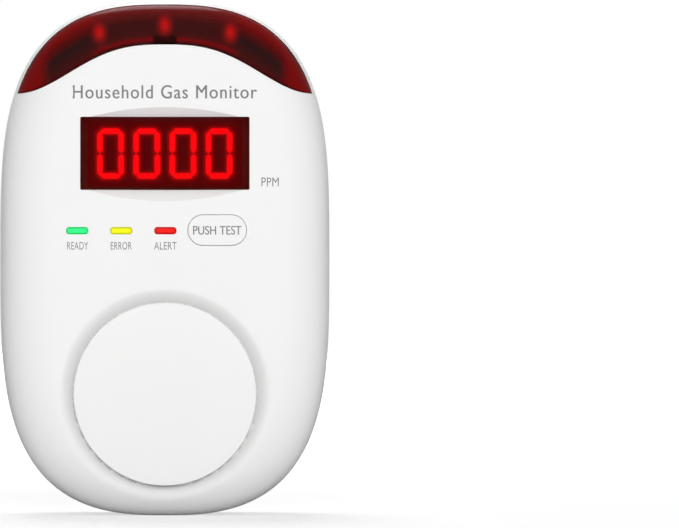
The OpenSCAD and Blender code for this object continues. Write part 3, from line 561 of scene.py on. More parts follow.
# prisms for the window, the button, the indicators and the side notches, each larger by the gap
def frontCutters():
    f, gap, notchStart, (x, _, z) = frontForm, 2 * frontForm["gap"], case["partingDepth"], buttonMiddle
    outlines = [cornerOutline(0, windowMiddle[2], windowWide + gap, windowTall + gap, 0.3),
                barOutline(x, z, button["width"] + gap, button["height"] + gap, 32)]
    for i in range(3):
        outlines.append(cornerOutline(indicators["lastX"] - i * indicators["pitch"], indicators["z"],
                                      indicators["width"] + gap, indicators["height"] + gap,
                                      indicators["corner"] + f["gap"]))
    cutters = [lensOpening()] + [prism("cut", outline, faceDepth - f["cutDeep"], faceDepth + 1)
                                 for outline in outlines]
    for side in (-1, 1):
        for drop in f["notchDrops"]:
            notch = cornerOutline(side * case["halfWidth"], topZ - drop, 2 * f["notchDeep"],
                                  f["notchHigh"], 0.1, 2)
            cutters.append(prism("cut", notch, notchStart - 1, notchStart + f["gap"] + f["notchLong"]))
    return joined("frontCutters", cutters)


# a tube for a screw, between two depths
def boss(hole, radius, low, high, at, around):
    return turned("boss", [(hole, low), (radius, low), (radius, high), (hole, high)], at, around, True)


# the cut body with the raised disc and the bosses, and a shade painted in the groove
def frontShell():
    f, inner = frontForm, faceDepth - case["wall"]
    body = carved(frontBody(), frontCutters())
    body = carved(body, joined("scoops", [scoopCutter(f["scoopAbove"]), scoopCutter(f["scoopBelow"])]))
    top, discBack = faceDepth + f["discProud"], faceDepth - f["discThick"]
    r, e = f["discRadius"], f["discEdge"]
    parts = [body, turned("disc", [(0, discBack), (r, discBack)] + arc(r - e, top - e, e, 0, 90)
                          + [(r * 0.8, top), (r * 0.4, top), (0, top)], (0, discZ), 256)]
    low, high, caseHigh = f["boardFrontDepth"], inner - 0.05, inner + 0.3
    parts += [boss(f["boardScrewRadius"], f["bossRadius"], low, high, at, 40) for at in boardScrewSpots]
    parts.append(boss(f["caseScrewRadius"], f["caseBossRadius"], low, caseHigh, (0, caseScrewZ), 48))
    whole = smoothed(joined("frontShell", parts), 30)
    at = pointsOf(whole)
    share = grooveDepth(at[:, 0], at[:, 2]) / f["grooveDeep"]
    inGroove = (np.hypot(at[:, 0], at[:, 2] - discZ) > r + 0.01) & (at[:, 1] < 3 - faceDepth)
    paint(whole, "tone", 1 - f["grooveShade"] * share * inGroove)
    return whole


settled(frontShell(), "housing", finishes["shell_plastic"], ("front_shell",))
print("front shell made")

# the alarm lens; tones are (across, red, green, blue) from its lower edge (0) to its outer edge (1): its
# red, with painted highlights along its edges
lens = {
    "thick": 2.5, "sag": 0.16, "edgeWide": 0.5, "columns": 321, "frontRows": 44, "backRows": 8,
    "lampSpots": ((-13.1, topZ - 6.4), (0.0, topZ - 4.9), (13.1, topZ - 6.4)),
    "lampWide": 1.0, "lampTall": 1.45, "lampGlow": (0.44, 0.0006, 0.0008),
    "blockHalf": 2.5, "blockHigh": 1.9, "blockShade": 0.85,
    "middleTones": ((0, 44, 12, 12), (0.04, 70, 8, 10), (0.11, 114, 7, 10), (0.24, 62, 13, 12),
                    (0.55, 58, 13, 12), (0.7, 84, 12, 12), (0.86, 104, 14, 14), (1, 122, 26, 30)),
    "wingTones": ((0, 46, 9, 10), (0.04, 70, 7, 8), (0.12, 66, 14, 14), (0.45, 40, 16, 16),
                  (0.62, 78, 6, 6), (0.85, 124, 2, 2), (1, 122, 18, 20)),
    "tipTones": ((0, 70, 4, 6), (0.1, 122, 3, 4), (0.9, 122, 3, 4), (1, 80, 9, 10)),
    "toWing": (12.5, 16.0), "toTip": (22.5, 25.5),
}


# the tone across the lens, its red with painted highlights along the edges: three ramps, one in the middle,
# one on the wings and one at the tips, with a darker place in front of the block
def lensTone(across, x, z):
    def ramp(rows):
        stops = np.array(rows, float).T
        return linear(np.stack([np.interp(across, stops[0], channel) for channel in stops[1:]], -1))

    wide, blockTop = np.abs(x), lensEdge(np.zeros(1))[0] + lens["blockHigh"]
    toWing = smoothStep(wide, *lens["toWing"])[..., None]
    toTip = smoothStep(wide, *lens["toTip"])[..., None]
    tone = ramp(lens["middleTones"]) * (1 - toWing) + ramp(lens["wingTones"]) * toWing
    tone = tone * (1 - toTip) + ramp(lens["tipTones"]) * toTip
    half = lens["blockHalf"]
    block = smoothStep(wide, half, half - 0.3) * smoothStep(z, blockTop, blockTop - 0.3)
    return tone * (1 - lens["blockShade"] * block[..., None])


# rows of points from the lower edge to the upper edge over the front, and back again behind it
def alarmLens():
    lower, upper = lensEdges(lensCut["rim"], 0, lens["columns"])
    even = np.linspace(0, 1, lens["frontRows"])
    v = 0.5 * (1 - np.cos(np.linspace(0, np.pi, lens["frontRows"]))) / 2 + 0.5 * even
    vBack = np.linspace(1, 0, lens["backRows"])

    def between(v):
        return lower[None] * (1 - v[:, None, None]) + upper[None] * v[:, None, None]

    front, back = between(v), between(vBack)
    # the front face sags a little and rounds off at its edges, by a quarter circle
    toEdge = np.minimum(v[:, None], 1 - v[:, None]) * np.linalg.norm(upper - lower, axis=-1)[None]
    fromEdge = 1 - np.clip(toEdge / lens["edgeWide"], 0, 1)
    rounding = 1 - np.sqrt(np.clip(1 - fromEdge ** 2, 0, 1))
    frontAt = frontDepth(front[..., 0], front[..., 1]) - lens["sag"] * (0.25 + rounding)
    backAt = frontDepth(back[..., 0], back[..., 1]) - lens["thick"]
    rows = np.concatenate([places(front[..., 0], frontAt, front[..., 1]),
                           places(back[..., 0], backAt, back[..., 1])])
    across = np.broadcast_to(np.concatenate([v, vBack])[:, None], rows.shape[:2])
    tone = lensTone(across, rows[..., 0], rows[..., 2])
    rows, tone = (np.concatenate([part, part[:1]]) for part in (rows, tone))
    piece = surfaceMesh("alarmLens", [(rows, False)])
    # the merge keeps places, so each point takes the tone of the grid point at its own place
    flat, want = rows.reshape(-1, 3), pointsOf(piece)
    order = np.lexsort(np.round(flat, 3).T)
    table = {tuple(p): i for p, i in zip(np.round(flat[order], 2).tolist(), order.tolist())}
    index = [table.get(tuple(p), 0) for p in np.round(want.astype(float), 2).tolist()]
    colours = tone.reshape(-1, 3)[np.array(index)]
    paint(piece, "tone", colours)
    # painted light: soft glowing spots on the lens where the lamps behind it shine through
    glow = np.zeros_like(colours)
    for x, z in lens["lampSpots"]:
        r = np.hypot((want[:, 0] - x) / lens["lampWide"], (want[:, 2] - z) / lens["lampTall"])
        glow += np.exp(-r ** 2)[:, None] * np.array(lens["lampGlow"])
    paint(piece, "glow", glow)
    return smoothed(piece, 50)


settled(alarmLens(), "housing", finishes["red_lens"], ("alarm_lens",))
print("alarm lens made")

# the display: a pane over a module with lit segments
display = {
    "paneEdge": 0.15, "sink": 0.5, "flange": 1.0, "flangeThick": 1.0, "innerDepth": faceDepth - case["wall"],
    "moduleWide": 31.0, "moduleTall": 13.0, "moduleBack": 22.8, "moduleFront": faceDepth - 3.8,
    "digitTall": 10.1, "digitWide": 5.4, "pitch": 7.24, "segment": 1.15, "glowStep": 0.12,
    "haloSize": 0.42, "spreadSize": 2.2,
    "faceGlow": (0.05, 0.0003, 0.0006), "haloGlow": (0.9, 0.004, 0.003), "spreadGlow": (0.09, 0.0, 0.0),
}


# a pane with a flange behind it and a rounded edge, sunk below the face
def displayWindow():
    d, clear = display, 0.02
    behind = d["innerDepth"] - clear
    edges = [(-d["flange"], d["innerDepth"] - d["flangeThick"]), (-d["flange"], behind), (0, behind)]
    pane = softPlate("displayWindow",
                     lambda inset: cornerOutline(0, windowMiddle[2], windowWide - 2 * inset,
                                                 windowTall - 2 * inset, windowCorner),
                     edges + roundedEdge(d["paneEdge"], faceDepth - d["sink"]))
    return smoothed(pane, 40)


# distance to the nearest lit segment of a zero, from each segment's middle line less half its width
def segmentDistance(x, z):
    d = display
    wide, half = (d["digitWide"] - d["segment"]) / 2, (d["digitTall"] - d["segment"]) / 2
    reach = half / 2 - d["segment"] / 2
    nearest = np.full(x.shape, np.inf)
    for i in (-1.5, -0.5, 0.5, 1.5):
        u, w = np.abs(x - i * d["pitch"]), np.abs(z - windowMiddle[2])
        flat = np.hypot(np.maximum(u - (wide - d["segment"] / 2), 0), w - half)
        upright = np.hypot(u - wide, np.maximum(np.abs(w - half / 2) - reach, 0))
        nearest = np.minimum(nearest, np.minimum(flat, upright) - d["segment"] / 2)
    return nearest


# a box whose front is a fine grid, on which the light round the segments is painted: a painted even glow
# over the face, a halo that falls off as exp(-(d/h)^2) and a wider spread that falls off as exp(-d/s)
def displayModule():
    d = display
    wide, tall = d["moduleWide"] / 2, d["moduleTall"] / 2
    x = np.append(np.arange(-wide, wide + 0.01, d["glowStep"])[:-1], wide)
    z = np.append(np.arange(-tall, tall - 0.01, d["glowStep"]), tall)
    gridX, gridZ = np.meshgrid(x, z + windowMiddle[2])
    face = places(gridX, d["moduleFront"], gridZ)
    rim = np.concatenate([face[0], face[1:, -1], face[-1, -2::-1], face[-2:0:-1, 0]])
    back = rim.copy()
    back[:, 1] = -d["moduleBack"]
    piece = surfaceMesh("displayModule", [(face, False), (np.stack([rim, back]), True)], [back])
    at = pointsOf(piece)
    distance = np.maximum(segmentDistance(at[:, 0].astype(float), at[:, 2].astype(float)), 0)
    halo = np.exp(-(distance / d["haloSize"]) ** 2)[:, None]
    spread = np.exp(-distance / d["spreadSize"])[:, None]
    glow = np.array(d["faceGlow"]) + halo * np.array(d["haloGlow"]) + spread * np.array(d["spreadGlow"])
    paint(piece, "glow", glow * (at[:, 1] < -d["moduleFront"] + 0.01)[:, None])
    return smoothed(piece, 30)


settled(displayWindow(), "housing", finishes["dark_red_window"], ("display_window",))
settled(displayModule(), "housing", finishes["module_face"], ("display_module",))
print("display made")


# a light pipe with a flange and a softened end, which glows less along its border
def indicator(name, x, light):
    d, behind, flangeBack = indicators, faceDepth - case["wall"] - 0.02, faceDepth - indicators["flangeBack"]
    flange = -d["flange"]
    edges = [(0, d["back"]), (0, flangeBack), (flange, flangeBack), (flange, behind), (0, behind)]
    edges += roundedEdge(d["edge"], faceDepth) + [(d["border"] - 0.04, faceDepth), (d["border"], faceDepth)]
    pipe = softPlate(name, lambda inset: cornerOutline(
        x, d["z"], d["width"] - 2 * inset, d["height"] - 2 * inset, max(d["corner"] - inset, 0.05)), edges)
    at = pointsOf(pipe)
    toEdge = np.minimum(d["width"] / 2 - np.abs(at[:, 0] - x), d["height"] / 2 - np.abs(at[:, 2] - d["z"]))
    inside = smoothStep(toEdge, d["border"] - 0.03, d["border"] - 0.01)
    paint(pipe, "glow", (d["borderGlow"] + (1 - d["borderGlow"]) * inside)[:, None] * np.array(light))
    return smoothed(pipe, 40)


for i, (name, colour, node, slot) in enumerate((
        ("redIndicator", (238, 9, 4), "red_indicator", "red_light"),
        ("yellowIndicator", (251, 255, 8), "yellow_indicator", "yellow_light"),
        ("greenIndicator", (47, 255, 137), "green_indicator", "green_light"))):
    light = tuple(linear(colour).tolist())
    lit = grained(name + "Finish", tuple(0.3 * c for c in light), 0.95, (0.2, 0.28), 0.02, glow="painted",
                  glowStrength=0.78, shine=0.2)
    pipe = indicator(name, indicators["lastX"] - i * indicators["pitch"], light)
    settled(pipe, "housing", lit, (node,))


# a bar-shaped cap with a flange behind the shell and a plunger towards the switch
def testButton():
    b, x, z, inner = button, buttonMiddle[0], buttonMiddle[2], faceDepth - case["wall"]
    r, end, flangeFront = b["plunger"], b["plungerEnd"], inner - b["flangeClear"]
    edges = [(0, inner - 1.1)] + roundedEdge(b["edge"], faceDepth + b["proud"], 6)
    cap = softPlate("cap", lambda inset: barOutline(
        x, z, b["width"] - 2 * inset, b["height"] - 2 * inset, 40), edges)
    flange = prism("flange", barOutline(x, z, b["width"] + 2 * b["flange"], b["height"] + 2 * b["flange"]),
                   flangeFront - b["flangeThick"], flangeFront)
    plunger = turned("plunger", [(0, end), (r - b["plungerEdge"], end), (r, end + b["plungerEdge"]),
                                 (r, inner), (0, inner)], (x, z), 40)
    return smoothed(joined("testButton", [cap, flange, plunger]), 35)


settled(testButton(), "button", finishes["front_plastic"], ("test_button",))
print("indicators and button made")

# the rear shell, and the pad that lies in its keyhole
rear = {
    "rimBevel": 0.25, "lapInset": 1.0, "rebate": 9.4, "fillet": 1.4, "outerEdge": 0.5, "innerEdge": 0.3,
    "collarRadius": 19.9, "socketRadius": 17.47, "collarDepth": 9.0,
    "ventCount": 33, "ventWide": 1.4, "ventSide": 3.7, "ventEnd": 6.3, "ventFrom": 2.5, "ventFloor": 11.8,
    "padGap": 0.35, "keyholeDeep": 3.5, "recessRadius": 2.8, "tubeRadius": 4.0, "screwHole": 1.55,
    "tubeEnd": 21.2, "recessEnd": 8.4, "lugInner": 16.0, "lugAngle": 50, "lugDepth": 6.0, "lugThick": 1.5,
}
label = {"wide": 34.5, "tall": 26.0, "thick": 0.15, "corner": 0.9, "edge": 0.03, "gap": 0.1}
pad = {"radius": 3.65, "out": 2.9, "angle": -51.8, "neck": 5.0, "thick": 1.6, "edge": 0.12, "flange": 0.9,
       "flangeDepth": 6.2, "springTop": 7.2, "pinRadius": 1.4, "pinEnd": 9.8}
# painted shade in the gap round the pad: the depths below the back face where it starts and ends, and its
# strength
gapShade = {"from": 0.08, "to": 0.3, "strength": 0.97}
padFromAxis = rear["collarRadius"] + pad["out"]
padDirection = math.radians(pad["angle"])
padX, padZ = padFromAxis * math.cos(padDirection), padFromAxis * math.sin(padDirection)


# one closed set of rings: wall, shoulder, back face, collar, its inside, and back along the inner side
def rearBody():
    wall, bevel, back = case["wall"], rear["rimBevel"], case["backDepth"]
    parting, shoulderStart = case["partingDepth"], backShoulder(0, 14)
    lapInset, rebate = rear["lapInset"], rear["rebate"]
    outer = caseRings([(bevel, bevel, parting), (0, 0, parting - bevel), (0, 0, 11), (0, 0, 9.6)]
                      + shoulderStart[::-1].tolist())
    edge = outer[-1]
    direction = np.arctan2(edge[:, 2], edge[:, 0])

    def circles(profile):
        profile = np.array(profile, float)
        return places(profile[:, :1] * np.cos(direction), profile[:, 1:], profile[:, :1] * np.sin(direction))

    def between(start, end, shares):
        shares = np.array(shares)[:, None, None]
        return start[None] * (1 - shares) + end[None] * shares

    outerR, socketR, f = rear["collarRadius"], rear["socketRadius"], rear["fillet"]
    r1, r2, collarEnd = rear["outerEdge"], rear["innerEdge"], rear["collarDepth"]
    collar = circles(arc(outerR + f, back - f, f, 90, 180, 8) + [(outerR, r1 + 0.8)]
                     + arc(outerR - r1, r1, r1, 0, -90, 6) + arc(socketR + r2, r2, r2, -90, -180, 5)
                     + [(socketR, 3), (socketR, 6), (socketR, collarEnd), (outerR, collarEnd),
                        (outerR, back + wall)])
    innerShoulder = backShoulder(wall, 8)
    inner = caseRings(innerShoulder.tolist() + [(wall, wall, rebate), (lapInset, lapInset, rebate),
                                                (lapInset, lapInset, parting)])
    rows = np.concatenate([outer, between(edge, collar[0], (0.02, 0.2, 0.5, 0.8, 0.98)), collar,
                           between(collar[-1], inner[0], (0.2, 0.6, 0.95)), inner, outer[:1]])
    return surfaceMesh("rearBody", [(rows, True)])


# each slot starts in a round end and runs out square to the outline; the slots are evenly spaced along it
def ventCutters():
    fine = np.linspace(0, np.pi / 2, 2001)
    x, z = roundedOutline(fine, case["halfWidth"], case["halfHeight"])
    run = np.concatenate([[0], np.cumsum(np.hypot(np.diff(x), np.diff(z)))])
    perSide = (rear["ventCount"] - 1) // 2
    cutters, half = [], rear["ventWide"] / 2
    for i in range(-perSide, perSide + 1):
        side = -1 if i < 0 else 1
        t = np.interp(run[-1] * (1 - abs(i) / perSide), run, fine)
        px, pz = roundedOutline(np.array([t]), case["halfWidth"], case["halfHeight"])
        p, q = case["endPower"], case["sidePower"]
        normal = np.array([p * abs(math.cos(t)) ** (2 - 2 / p) / case["halfWidth"],
                           q * abs(math.sin(t)) ** (2 - 2 / q) / case["halfHeight"]])
        normal /= np.linalg.norm(normal)
        reach = rear["ventSide"] + (rear["ventEnd"] - rear["ventSide"]) * normal[1] ** 2 - half
        turn = np.radians(np.linspace(90, 270, 13))
        u = np.concatenate([[1.5], half * np.cos(turn) - reach, [1.5]])
        v = np.concatenate([[half], half * np.sin(turn), [-half]])
        out, along = np.array([side * normal[0], -normal[1]]), np.array([normal[1], side * normal[0]])
        place = np.array([side * px[0], case["middleZ"] - pz[0]]) + u[:, None] * out + v[:, None] * along
        cutters.append(prism("vent", place.T, rear["ventFrom"], rear["ventFloor"]))
    return joined("vents", cutters)


# turns (out, along) places round the plug's axis to the pad's direction
def padPlace(u, v):
    return (u * math.cos(padDirection) - v * math.sin(padDirection),
            u * math.sin(padDirection) + v * math.cos(padDirection))


# a round hole with a neck towards the axis, as one outline
def keyholeOutline(grow, reach, steps=60):
    r, half = pad["radius"] + grow, pad["neck"] / 2 + grow
    mouth = math.asin(half / r)
    t = np.linspace(mouth - math.pi, math.pi - mouth, steps)
    return padPlace(np.concatenate([[reach], padFromAxis + r * np.cos(t), [reach]]),
                    np.concatenate([[-half], r * np.sin(t), [half]]))


# a round hole cut off along a circle about the axis, as one outline
def cutDiscOutline(r, clear, steps=60):
    middle = (padFromAxis ** 2 + clear ** 2 - r ** 2) / (2 * padFromAxis)
    half = math.sqrt(clear ** 2 - middle ** 2)
    reach = math.atan2(half, middle - padFromAxis)
    t = np.linspace(-reach, reach, steps)
    turn = math.atan2(half, middle)
    back = np.linspace(turn, -turn, 16)[1:-1]
    return padPlace(np.concatenate([padFromAxis + r * np.cos(t), clear * np.cos(back)]),
                    np.concatenate([r * np.sin(t), clear * np.sin(back)]))


# painted shade: the walls of the gap round the pad darken with depth
def shadedGap(piece):
    at = pointsOf(piece)
    r = np.hypot(at[:, 0] - padX, at[:, 2] - padZ)
    fromAxis = np.hypot(at[:, 0], at[:, 2])
    reach = pad["radius"] + rear["padGap"] + pad["flange"] + 0.1
    near = (r > pad["radius"] - 0.1) & (r < reach) & (fromAxis > rear["socketRadius"] + 0.05)
    deep = smoothStep(-at[:, 1] - case["backDepth"], gapShade["from"] - 0.02, gapShade["to"])
    paint(piece, "tone", 1 - gapShade["strength"] * deep * near)
    return piece


# the body with its vents, keyhole, screw recess and label recess, its screw tube and its bayonet lugs
def rearShell():
    back, wall, socketR, gap = case["backDepth"], case["wall"], rear["socketRadius"], 2 * label["gap"]
    r, tube, hole, at = rear["recessRadius"], rear["tubeRadius"], rear["screwHole"], (0, caseScrewZ)
    body = carved(rearBody(), ventCutters())
    keyhole = keyholeOutline(rear["padGap"], socketR - 1)
    keyholeSteps = (-0.2, gapShade["from"], gapShade["to"], rear["keyholeDeep"])
    labelRecess = cornerOutline(labelMiddle[0], labelMiddle[2], label["wide"] + gap, label["tall"] + gap,
                                label["corner"])
    front, recess = back - 1, back + wall + 1
    holes = [softPlate("cut", lambda inset: keyhole, [(0, back + step) for step in keyholeSteps]),
             turned("cut", [(0, front), (r, front), (r, recess), (0, recess)], at, 72),
             prism("cut", labelRecess, back - 1, back + label["thick"])]
    body = carved(body, joined("rearCutters", holes))
    padHole = cutDiscOutline(pad["radius"] + rear["padGap"], rear["collarRadius"] + 0.25)
    body = carved(body, prism("cut", padHole, 1.5, back - 0.1))
    end, seat, lugStart = rear["tubeEnd"], rear["recessEnd"], rear["lugDepth"]
    tubeProfile = [(r, back + 1), (tube, back + 1), (tube, end), (hole, end), (hole, seat), (r, seat)]
    parts = [body, turned("tube", tubeProfile, at, 72, True)]
    parts += [ringPart("lug", rear["lugInner"], socketR + 0.2, lugStart, lugStart + rear["lugThick"], middle,
                       rear["lugAngle"]) for middle in (0, 180)]
    return shadedGap(smoothed(joined("rearShell", parts), 30))


settled(rearShell(), "housing", finishes["rear_plastic"], ("rear_shell",))
print("rear shell made")

# the plug's head and blades
plug = {
    "radius": 17.4, "plateRadius": 15.6, "plateSink": 1.0, "coneEnd": 17.05, "edge": 0.18, "rimDepth": 5.8,
    "neckRadius": 15.8, "end": 9.2, "wall": 2.0, "tabStart": 7.7, "tabAngle": 36,
    "notch": 0.9, "notchHalf": 2.7, "notchStart": 3.8, "notchEnd": 6.0,
    "bossPastBlades": (6.0, 3.0), "bossCorner": 0.6,
    "bladePitch": 12.7, "bladeThick": 1.5, "bladeHigh": 6.35, "bladeBack": 7.5, "bladeChamfer": 0.4,
    "bladeEdge": 0.16, "studRadius": 1.5, "studEnd": 10.8,
}


# a dished head turned about the plug's axis, with the latch's notch, a block for the blades and two tabs
def plugHead():
    d = plug
    r, edge, plate, neck = d["radius"], d["edge"], d["plateRadius"], d["neckRadius"]
    inner, sink, floor = neck - d["wall"], d["plateSink"], d["plateSink"] + d["wall"]
    profile = ([(0, sink), (plate * 0.6, sink), (plate, sink), (d["coneEnd"], 0.03)]
               + arc(r - edge, edge, edge, -90, 0, 4)
               + [(r, 3), (r, d["rimDepth"]), (neck, d["rimDepth"]), (neck, d["end"]), (inner, d["end"]),
                  (inner, floor), (0, floor)])
    head = turned("head", profile, (0, 0), 256)
    half, start = d["notchHalf"], r - d["notch"]
    notch = padPlace(np.array([start, r + 1, r + 1, start]), np.array([-half, -half, half, half]))
    head = carved(head, prism("cut", notch, d["notchStart"], d["notchEnd"]))
    wide, tall = d["bossPastBlades"]
    block = cornerOutline(0, 0, d["bladePitch"] + wide, d["bladeHigh"] + tall, d["bossCorner"])
    parts = [head, prism("boss", block, floor - 0.2, d["bladeBack"])]
    for middle in (0, 180):
        parts.append(ringPart("tab", neck - 0.5, r, d["tabStart"], d["end"], middle, d["tabAngle"]))
    return smoothed(joined("plugHead", parts), 25)


# each blade is a bar whose rounded outline shrinks over the bevel at its end, with a round stud inside
def plugBlades():
    d, c, parts = plug, plug["bladeChamfer"], []
    start, r, end = d["bladeBack"], d["studRadius"], d["studEnd"]
    edges = [(0, start), (0, 0), (0, c - bladeLength + 0.05), (0.04, c - bladeLength - 0.03),
             (c - 0.06, 0.06 - bladeLength), (c, -bladeLength)]
    stud = [(0, start - 0.1), (r, start - 0.1), (r, end - 0.2), (r - 0.2, end), (0, end)]
    for x in (-d["bladePitch"] / 2, d["bladePitch"] / 2):
        parts.append(softPlate("blade", lambda inset: cornerOutline(
            x, 0, d["bladeThick"] - 2 * inset, d["bladeHigh"] - 2 * inset,
            d["bladeEdge"] * (1 - inset)), edges))
        parts.append(turned("stud", stud, (x, 0), 40))
    return smoothed(joined("plugBlades", parts), 25)


settled(plugHead(), "plug", finishes["plug_plastic"], ("plug_head",))
settled(plugBlades(), "plug", finishes["blade_nickel"], ("plug_blades",))
print("plug made")


# a thin keyhole plate, a round cap cut off at the collar, a flange under the shell and a pin for the spring
def releaseButton():
    back, clear, edge, top = case["backDepth"], rear["collarRadius"] + 0.3, pad["edge"], pad["springTop"]
    plate = prism("plate", keyholeOutline(0, rear["socketRadius"] + 0.2), back + 0.05, back + pad["thick"])
    edges = [(0, back + 1), (0, back + gapShade["to"]), (0, back + edge),
             (edge * 0.3, back + edge * 0.3), (edge, back)]
    cap = softPlate("cap", lambda inset: cutDiscOutline(pad["radius"] - inset, clear + inset), edges)
    under = prism("under", cutDiscOutline(pad["radius"], clear), back + 1.5, top)
    flange = prism("flange", cutDiscOutline(pad["radius"] + rear["padGap"] + pad["flange"], clear),
                   pad["flangeDepth"], top)
    r, end = pad["pinRadius"], pad["pinEnd"]
    pin = turned("pin", [(0, top - 0.1), (r, top - 0.1), (r, end - 0.2), (r - 0.2, end), (0, end)],
                 (padX, padZ), 40)
    return shadedGap(smoothed(joined("releaseButton", [plate, cap, under, flange, pin]), 30))


spring = {"wire": 0.45, "outer": 4.8, "turns": 5, "top": 7.3, "seat": 11.5, "stepsPerTurn": 40, "sides": 10,
          "pressed": 0.64}


# a round wire along a helix: (r cos a, depth, r sin a), the section turned to stay square to it
def releaseSpring():
    s = spring
    count = s["turns"] * s["stepsPerTurn"]
    a = np.linspace(0, 2 * np.pi * s["turns"], count + 1)[:, None]
    b = (np.arange(s["sides"]) * 2 * np.pi / s["sides"])[None, :]
    r = (s["outer"] - s["wire"]) / 2 + s["wire"] / 2 * np.cos(b)
    start, end = s["top"] + s["wire"] / 2, s["seat"] - s["wire"] / 2
    depth = start + (end - start) * a / a[-1] + s["wire"] / 2 * np.sin(b)
    grid = places(padX + r * np.cos(a), depth, padZ + r * np.sin(a))
    return smoothed(surfaceMesh("releaseSpring", [(grid, True)], [grid[0], grid[-1]]), 60)


settled(releaseButton(), "release", finishes["rear_plastic"], ("release_button",))
springPiece = releaseSpring()
settled(springPiece, "housing", finishes["spring_steel"], ("release_spring",))
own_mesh(springPiece)
print("release button and spring made")

# the case screw and the label
screw = {
    "head": 2.6, "headDepth": 6.4, "headHigh": 2.0, "shank": 1.2, "thread": 1.5, "threadRoot": 1.18,
    "turns": 20, "stepsPerTurn": 24, "pitch": 1.1, "end": 31.7,
    "cross": 3.2, "slot": 0.85, "crossDeep": 1.2, "crossShade": 0.85,
}


# a pan head with a cross recess, over a shank with a raised helical thread
def caseScrew():
    s, z, top, r, shankR = screw, caseScrewZ, screw["headDepth"], screw["head"], screw["shank"]
    under, end = top + s["headHigh"], s["end"]
    head = turned("head", [(0, top), (1.2, top + 0.02), (2.0, top + 0.15), (2.4, top + 0.4), (r, top + 0.8),
                           (r, under), (0, under)], (0, z), 72)
    for wide, high in ((s["cross"], s["slot"]), (s["slot"], s["cross"])):
        bar = cornerOutline(0, z, wide, high, 0.12, 3)
        head = carved(head, prism("cut", bar, top - 1, top + s["crossDeep"]))
    start = under - 0.1
    a = np.linspace(0, 2 * np.pi * s["turns"], s["turns"] * s["stepsPerTurn"] + 1)[:, None]
    core = np.array([[s["threadRoot"], s["thread"], s["threadRoot"]]])
    depth = start + a / (2 * np.pi) * s["pitch"] + np.array([[0, 0.5, 1.0]]) * s["pitch"] * 0.5
    thread = surfaceMesh("thread", [(places(core * np.cos(a), depth, z + core * np.sin(a)), False)])
    shank = turned("shank", [(0, start), (shankR, start), (shankR, end - 0.8), (0.4, end), (0, end)],
                   (0, z), 40)
    whole = smoothed(joined("caseScrew", [head, shank, thread]), 35)
    # painted shade: the cross's walls darken with depth
    at = pointsOf(whole)
    inCross = (np.hypot(at[:, 0], at[:, 2] - z) < s["cross"] / 2 + 0.1) & (-at[:, 1] < start - 0.05)
    deep = smoothStep(-at[:, 1], top + 0.05, top + s["crossDeep"])
    paint(whole, "tone", 1 - s["crossShade"] * deep * inCross)
    return whole


# a film with rounded corners, in its shallow recess
def ratingLabel():
    back, edge = case["backDepth"], label["edge"]
    film = softPlate("ratingLabel", lambda inset: cornerOutline(
        labelMiddle[0], labelMiddle[2], label["wide"] - 2 * inset, label["tall"] - 2 * inset,
        label["corner"] - inset), [(0, back + label["thick"]), (0, back + edge), (edge, back)])
    return smoothed(film, 60)


settled(caseScrew(), "housing", finishes["dark_screw"], ("case_screw",))
settled(ratingLabel(), "housing", finishes["label_film"], ("rating_label",))
print("screw and label made")

lettersForm = {"thick": 0.02, "sunk": 0.012, "capHeight": 0.7, "steps": 5, "extrude": 0.5, "overlap": 0.003}


# raised letters about their own middle, from the font's outlines: tall is a capital's height in millimetres
def letters(text, tall, width, spacing):
    curve = bpy.data.curves.new("letters", "FONT")
    curve.body = text
    curve.space_character = spacing
    curve.extrude = lettersForm["extrude"]
    curve.resolution_u = lettersForm["steps"]
    holder = placed("letters", curve)
    mesh = workedOut(holder)
    bpy.data.objects.remove(holder)
    points = np.empty(len(mesh.vertices) * 3, np.float32)
    mesh.vertices.foreach_get("co", points)
    points = points.reshape(-1, 3).astype(float)
    faces = [list(face.vertices) for face in mesh.polygons]
    bpy.data.meshes.remove(mesh)
    low, high = points.min(0), points.max(0)
    x = (points[:, 0] - (low[0] + high[0]) / 2) * width / (high[0] - low[0])
    z = (points[:, 1] - lettersForm["capHeight"] / 2) * tall / lettersForm["capHeight"]
    return x, z, points[:, 2] + lettersForm["extrude"], faces


# letters laid on a surface: depthAt gives the surface, side is 1 at the front and -1 at the back;
# a strike lays them twice, that far apart, which makes them bolder
def lettering(name, lines, depthAt, side=1):
    points, faces, start = [], [], 0
    for text, x, z, tall, width, spacing, strike in lines:
        lx, lz, up, lineFaces = letters(text, tall, width, spacing)
        for i, shift in enumerate((-strike / 2, strike / 2) if strike else (0,)):
            px, pz = side * (lx + shift) + x, lz + z
            rise = up * (lettersForm["thick"] + lettersForm["overlap"] * i) - lettersForm["sunk"]
            points.append(places(px, depthAt(px, pz) + side * rise, pz))
            faces += [[v + start for v in face] for face in lineFaces]
            start += len(px)
    return newPiece(name, points, faces)


# rows of text, x, z, height of a capital, width, letter spacing, and how far it is struck twice
frontText = {
    "title": ("Household Gas Monitor", 0.0, 7.8, 2.7, 36.7, 1.12, 0.07),
    "unit": ("PPM", 21.0, -10.2, 1.8, 3.45, 1.05, 0.0),
    "marks": (("READY", -17.4, 4.2), ("ERROR", -8.7, 4.2), ("ALERT", 0.1, 4.5)),
    "markZ": -22.95, "markTall": 1.55,
    "press": ("PUSH TEST", 1.75, 9.6),
}


# the title, the unit and the indicators' names
def frontLettering():
    t = frontText
    lines = [t["title"], t["unit"]]
    lines += [(text, x, t["markZ"], t["markTall"], width, 1.05, 0.0) for text, x, width in t["marks"]]
    return lettering("frontLettering", lines, frontDepth)


# the button's words, which ride with it
def buttonLettering():
    text, tall, width = frontText["press"]
    top = faceDepth + button["proud"]
    return lettering("buttonLettering", [(text, buttonMiddle[0], buttonMiddle[2], tall, width, 1.0, 0.05)],
                     lambda x, z: top)


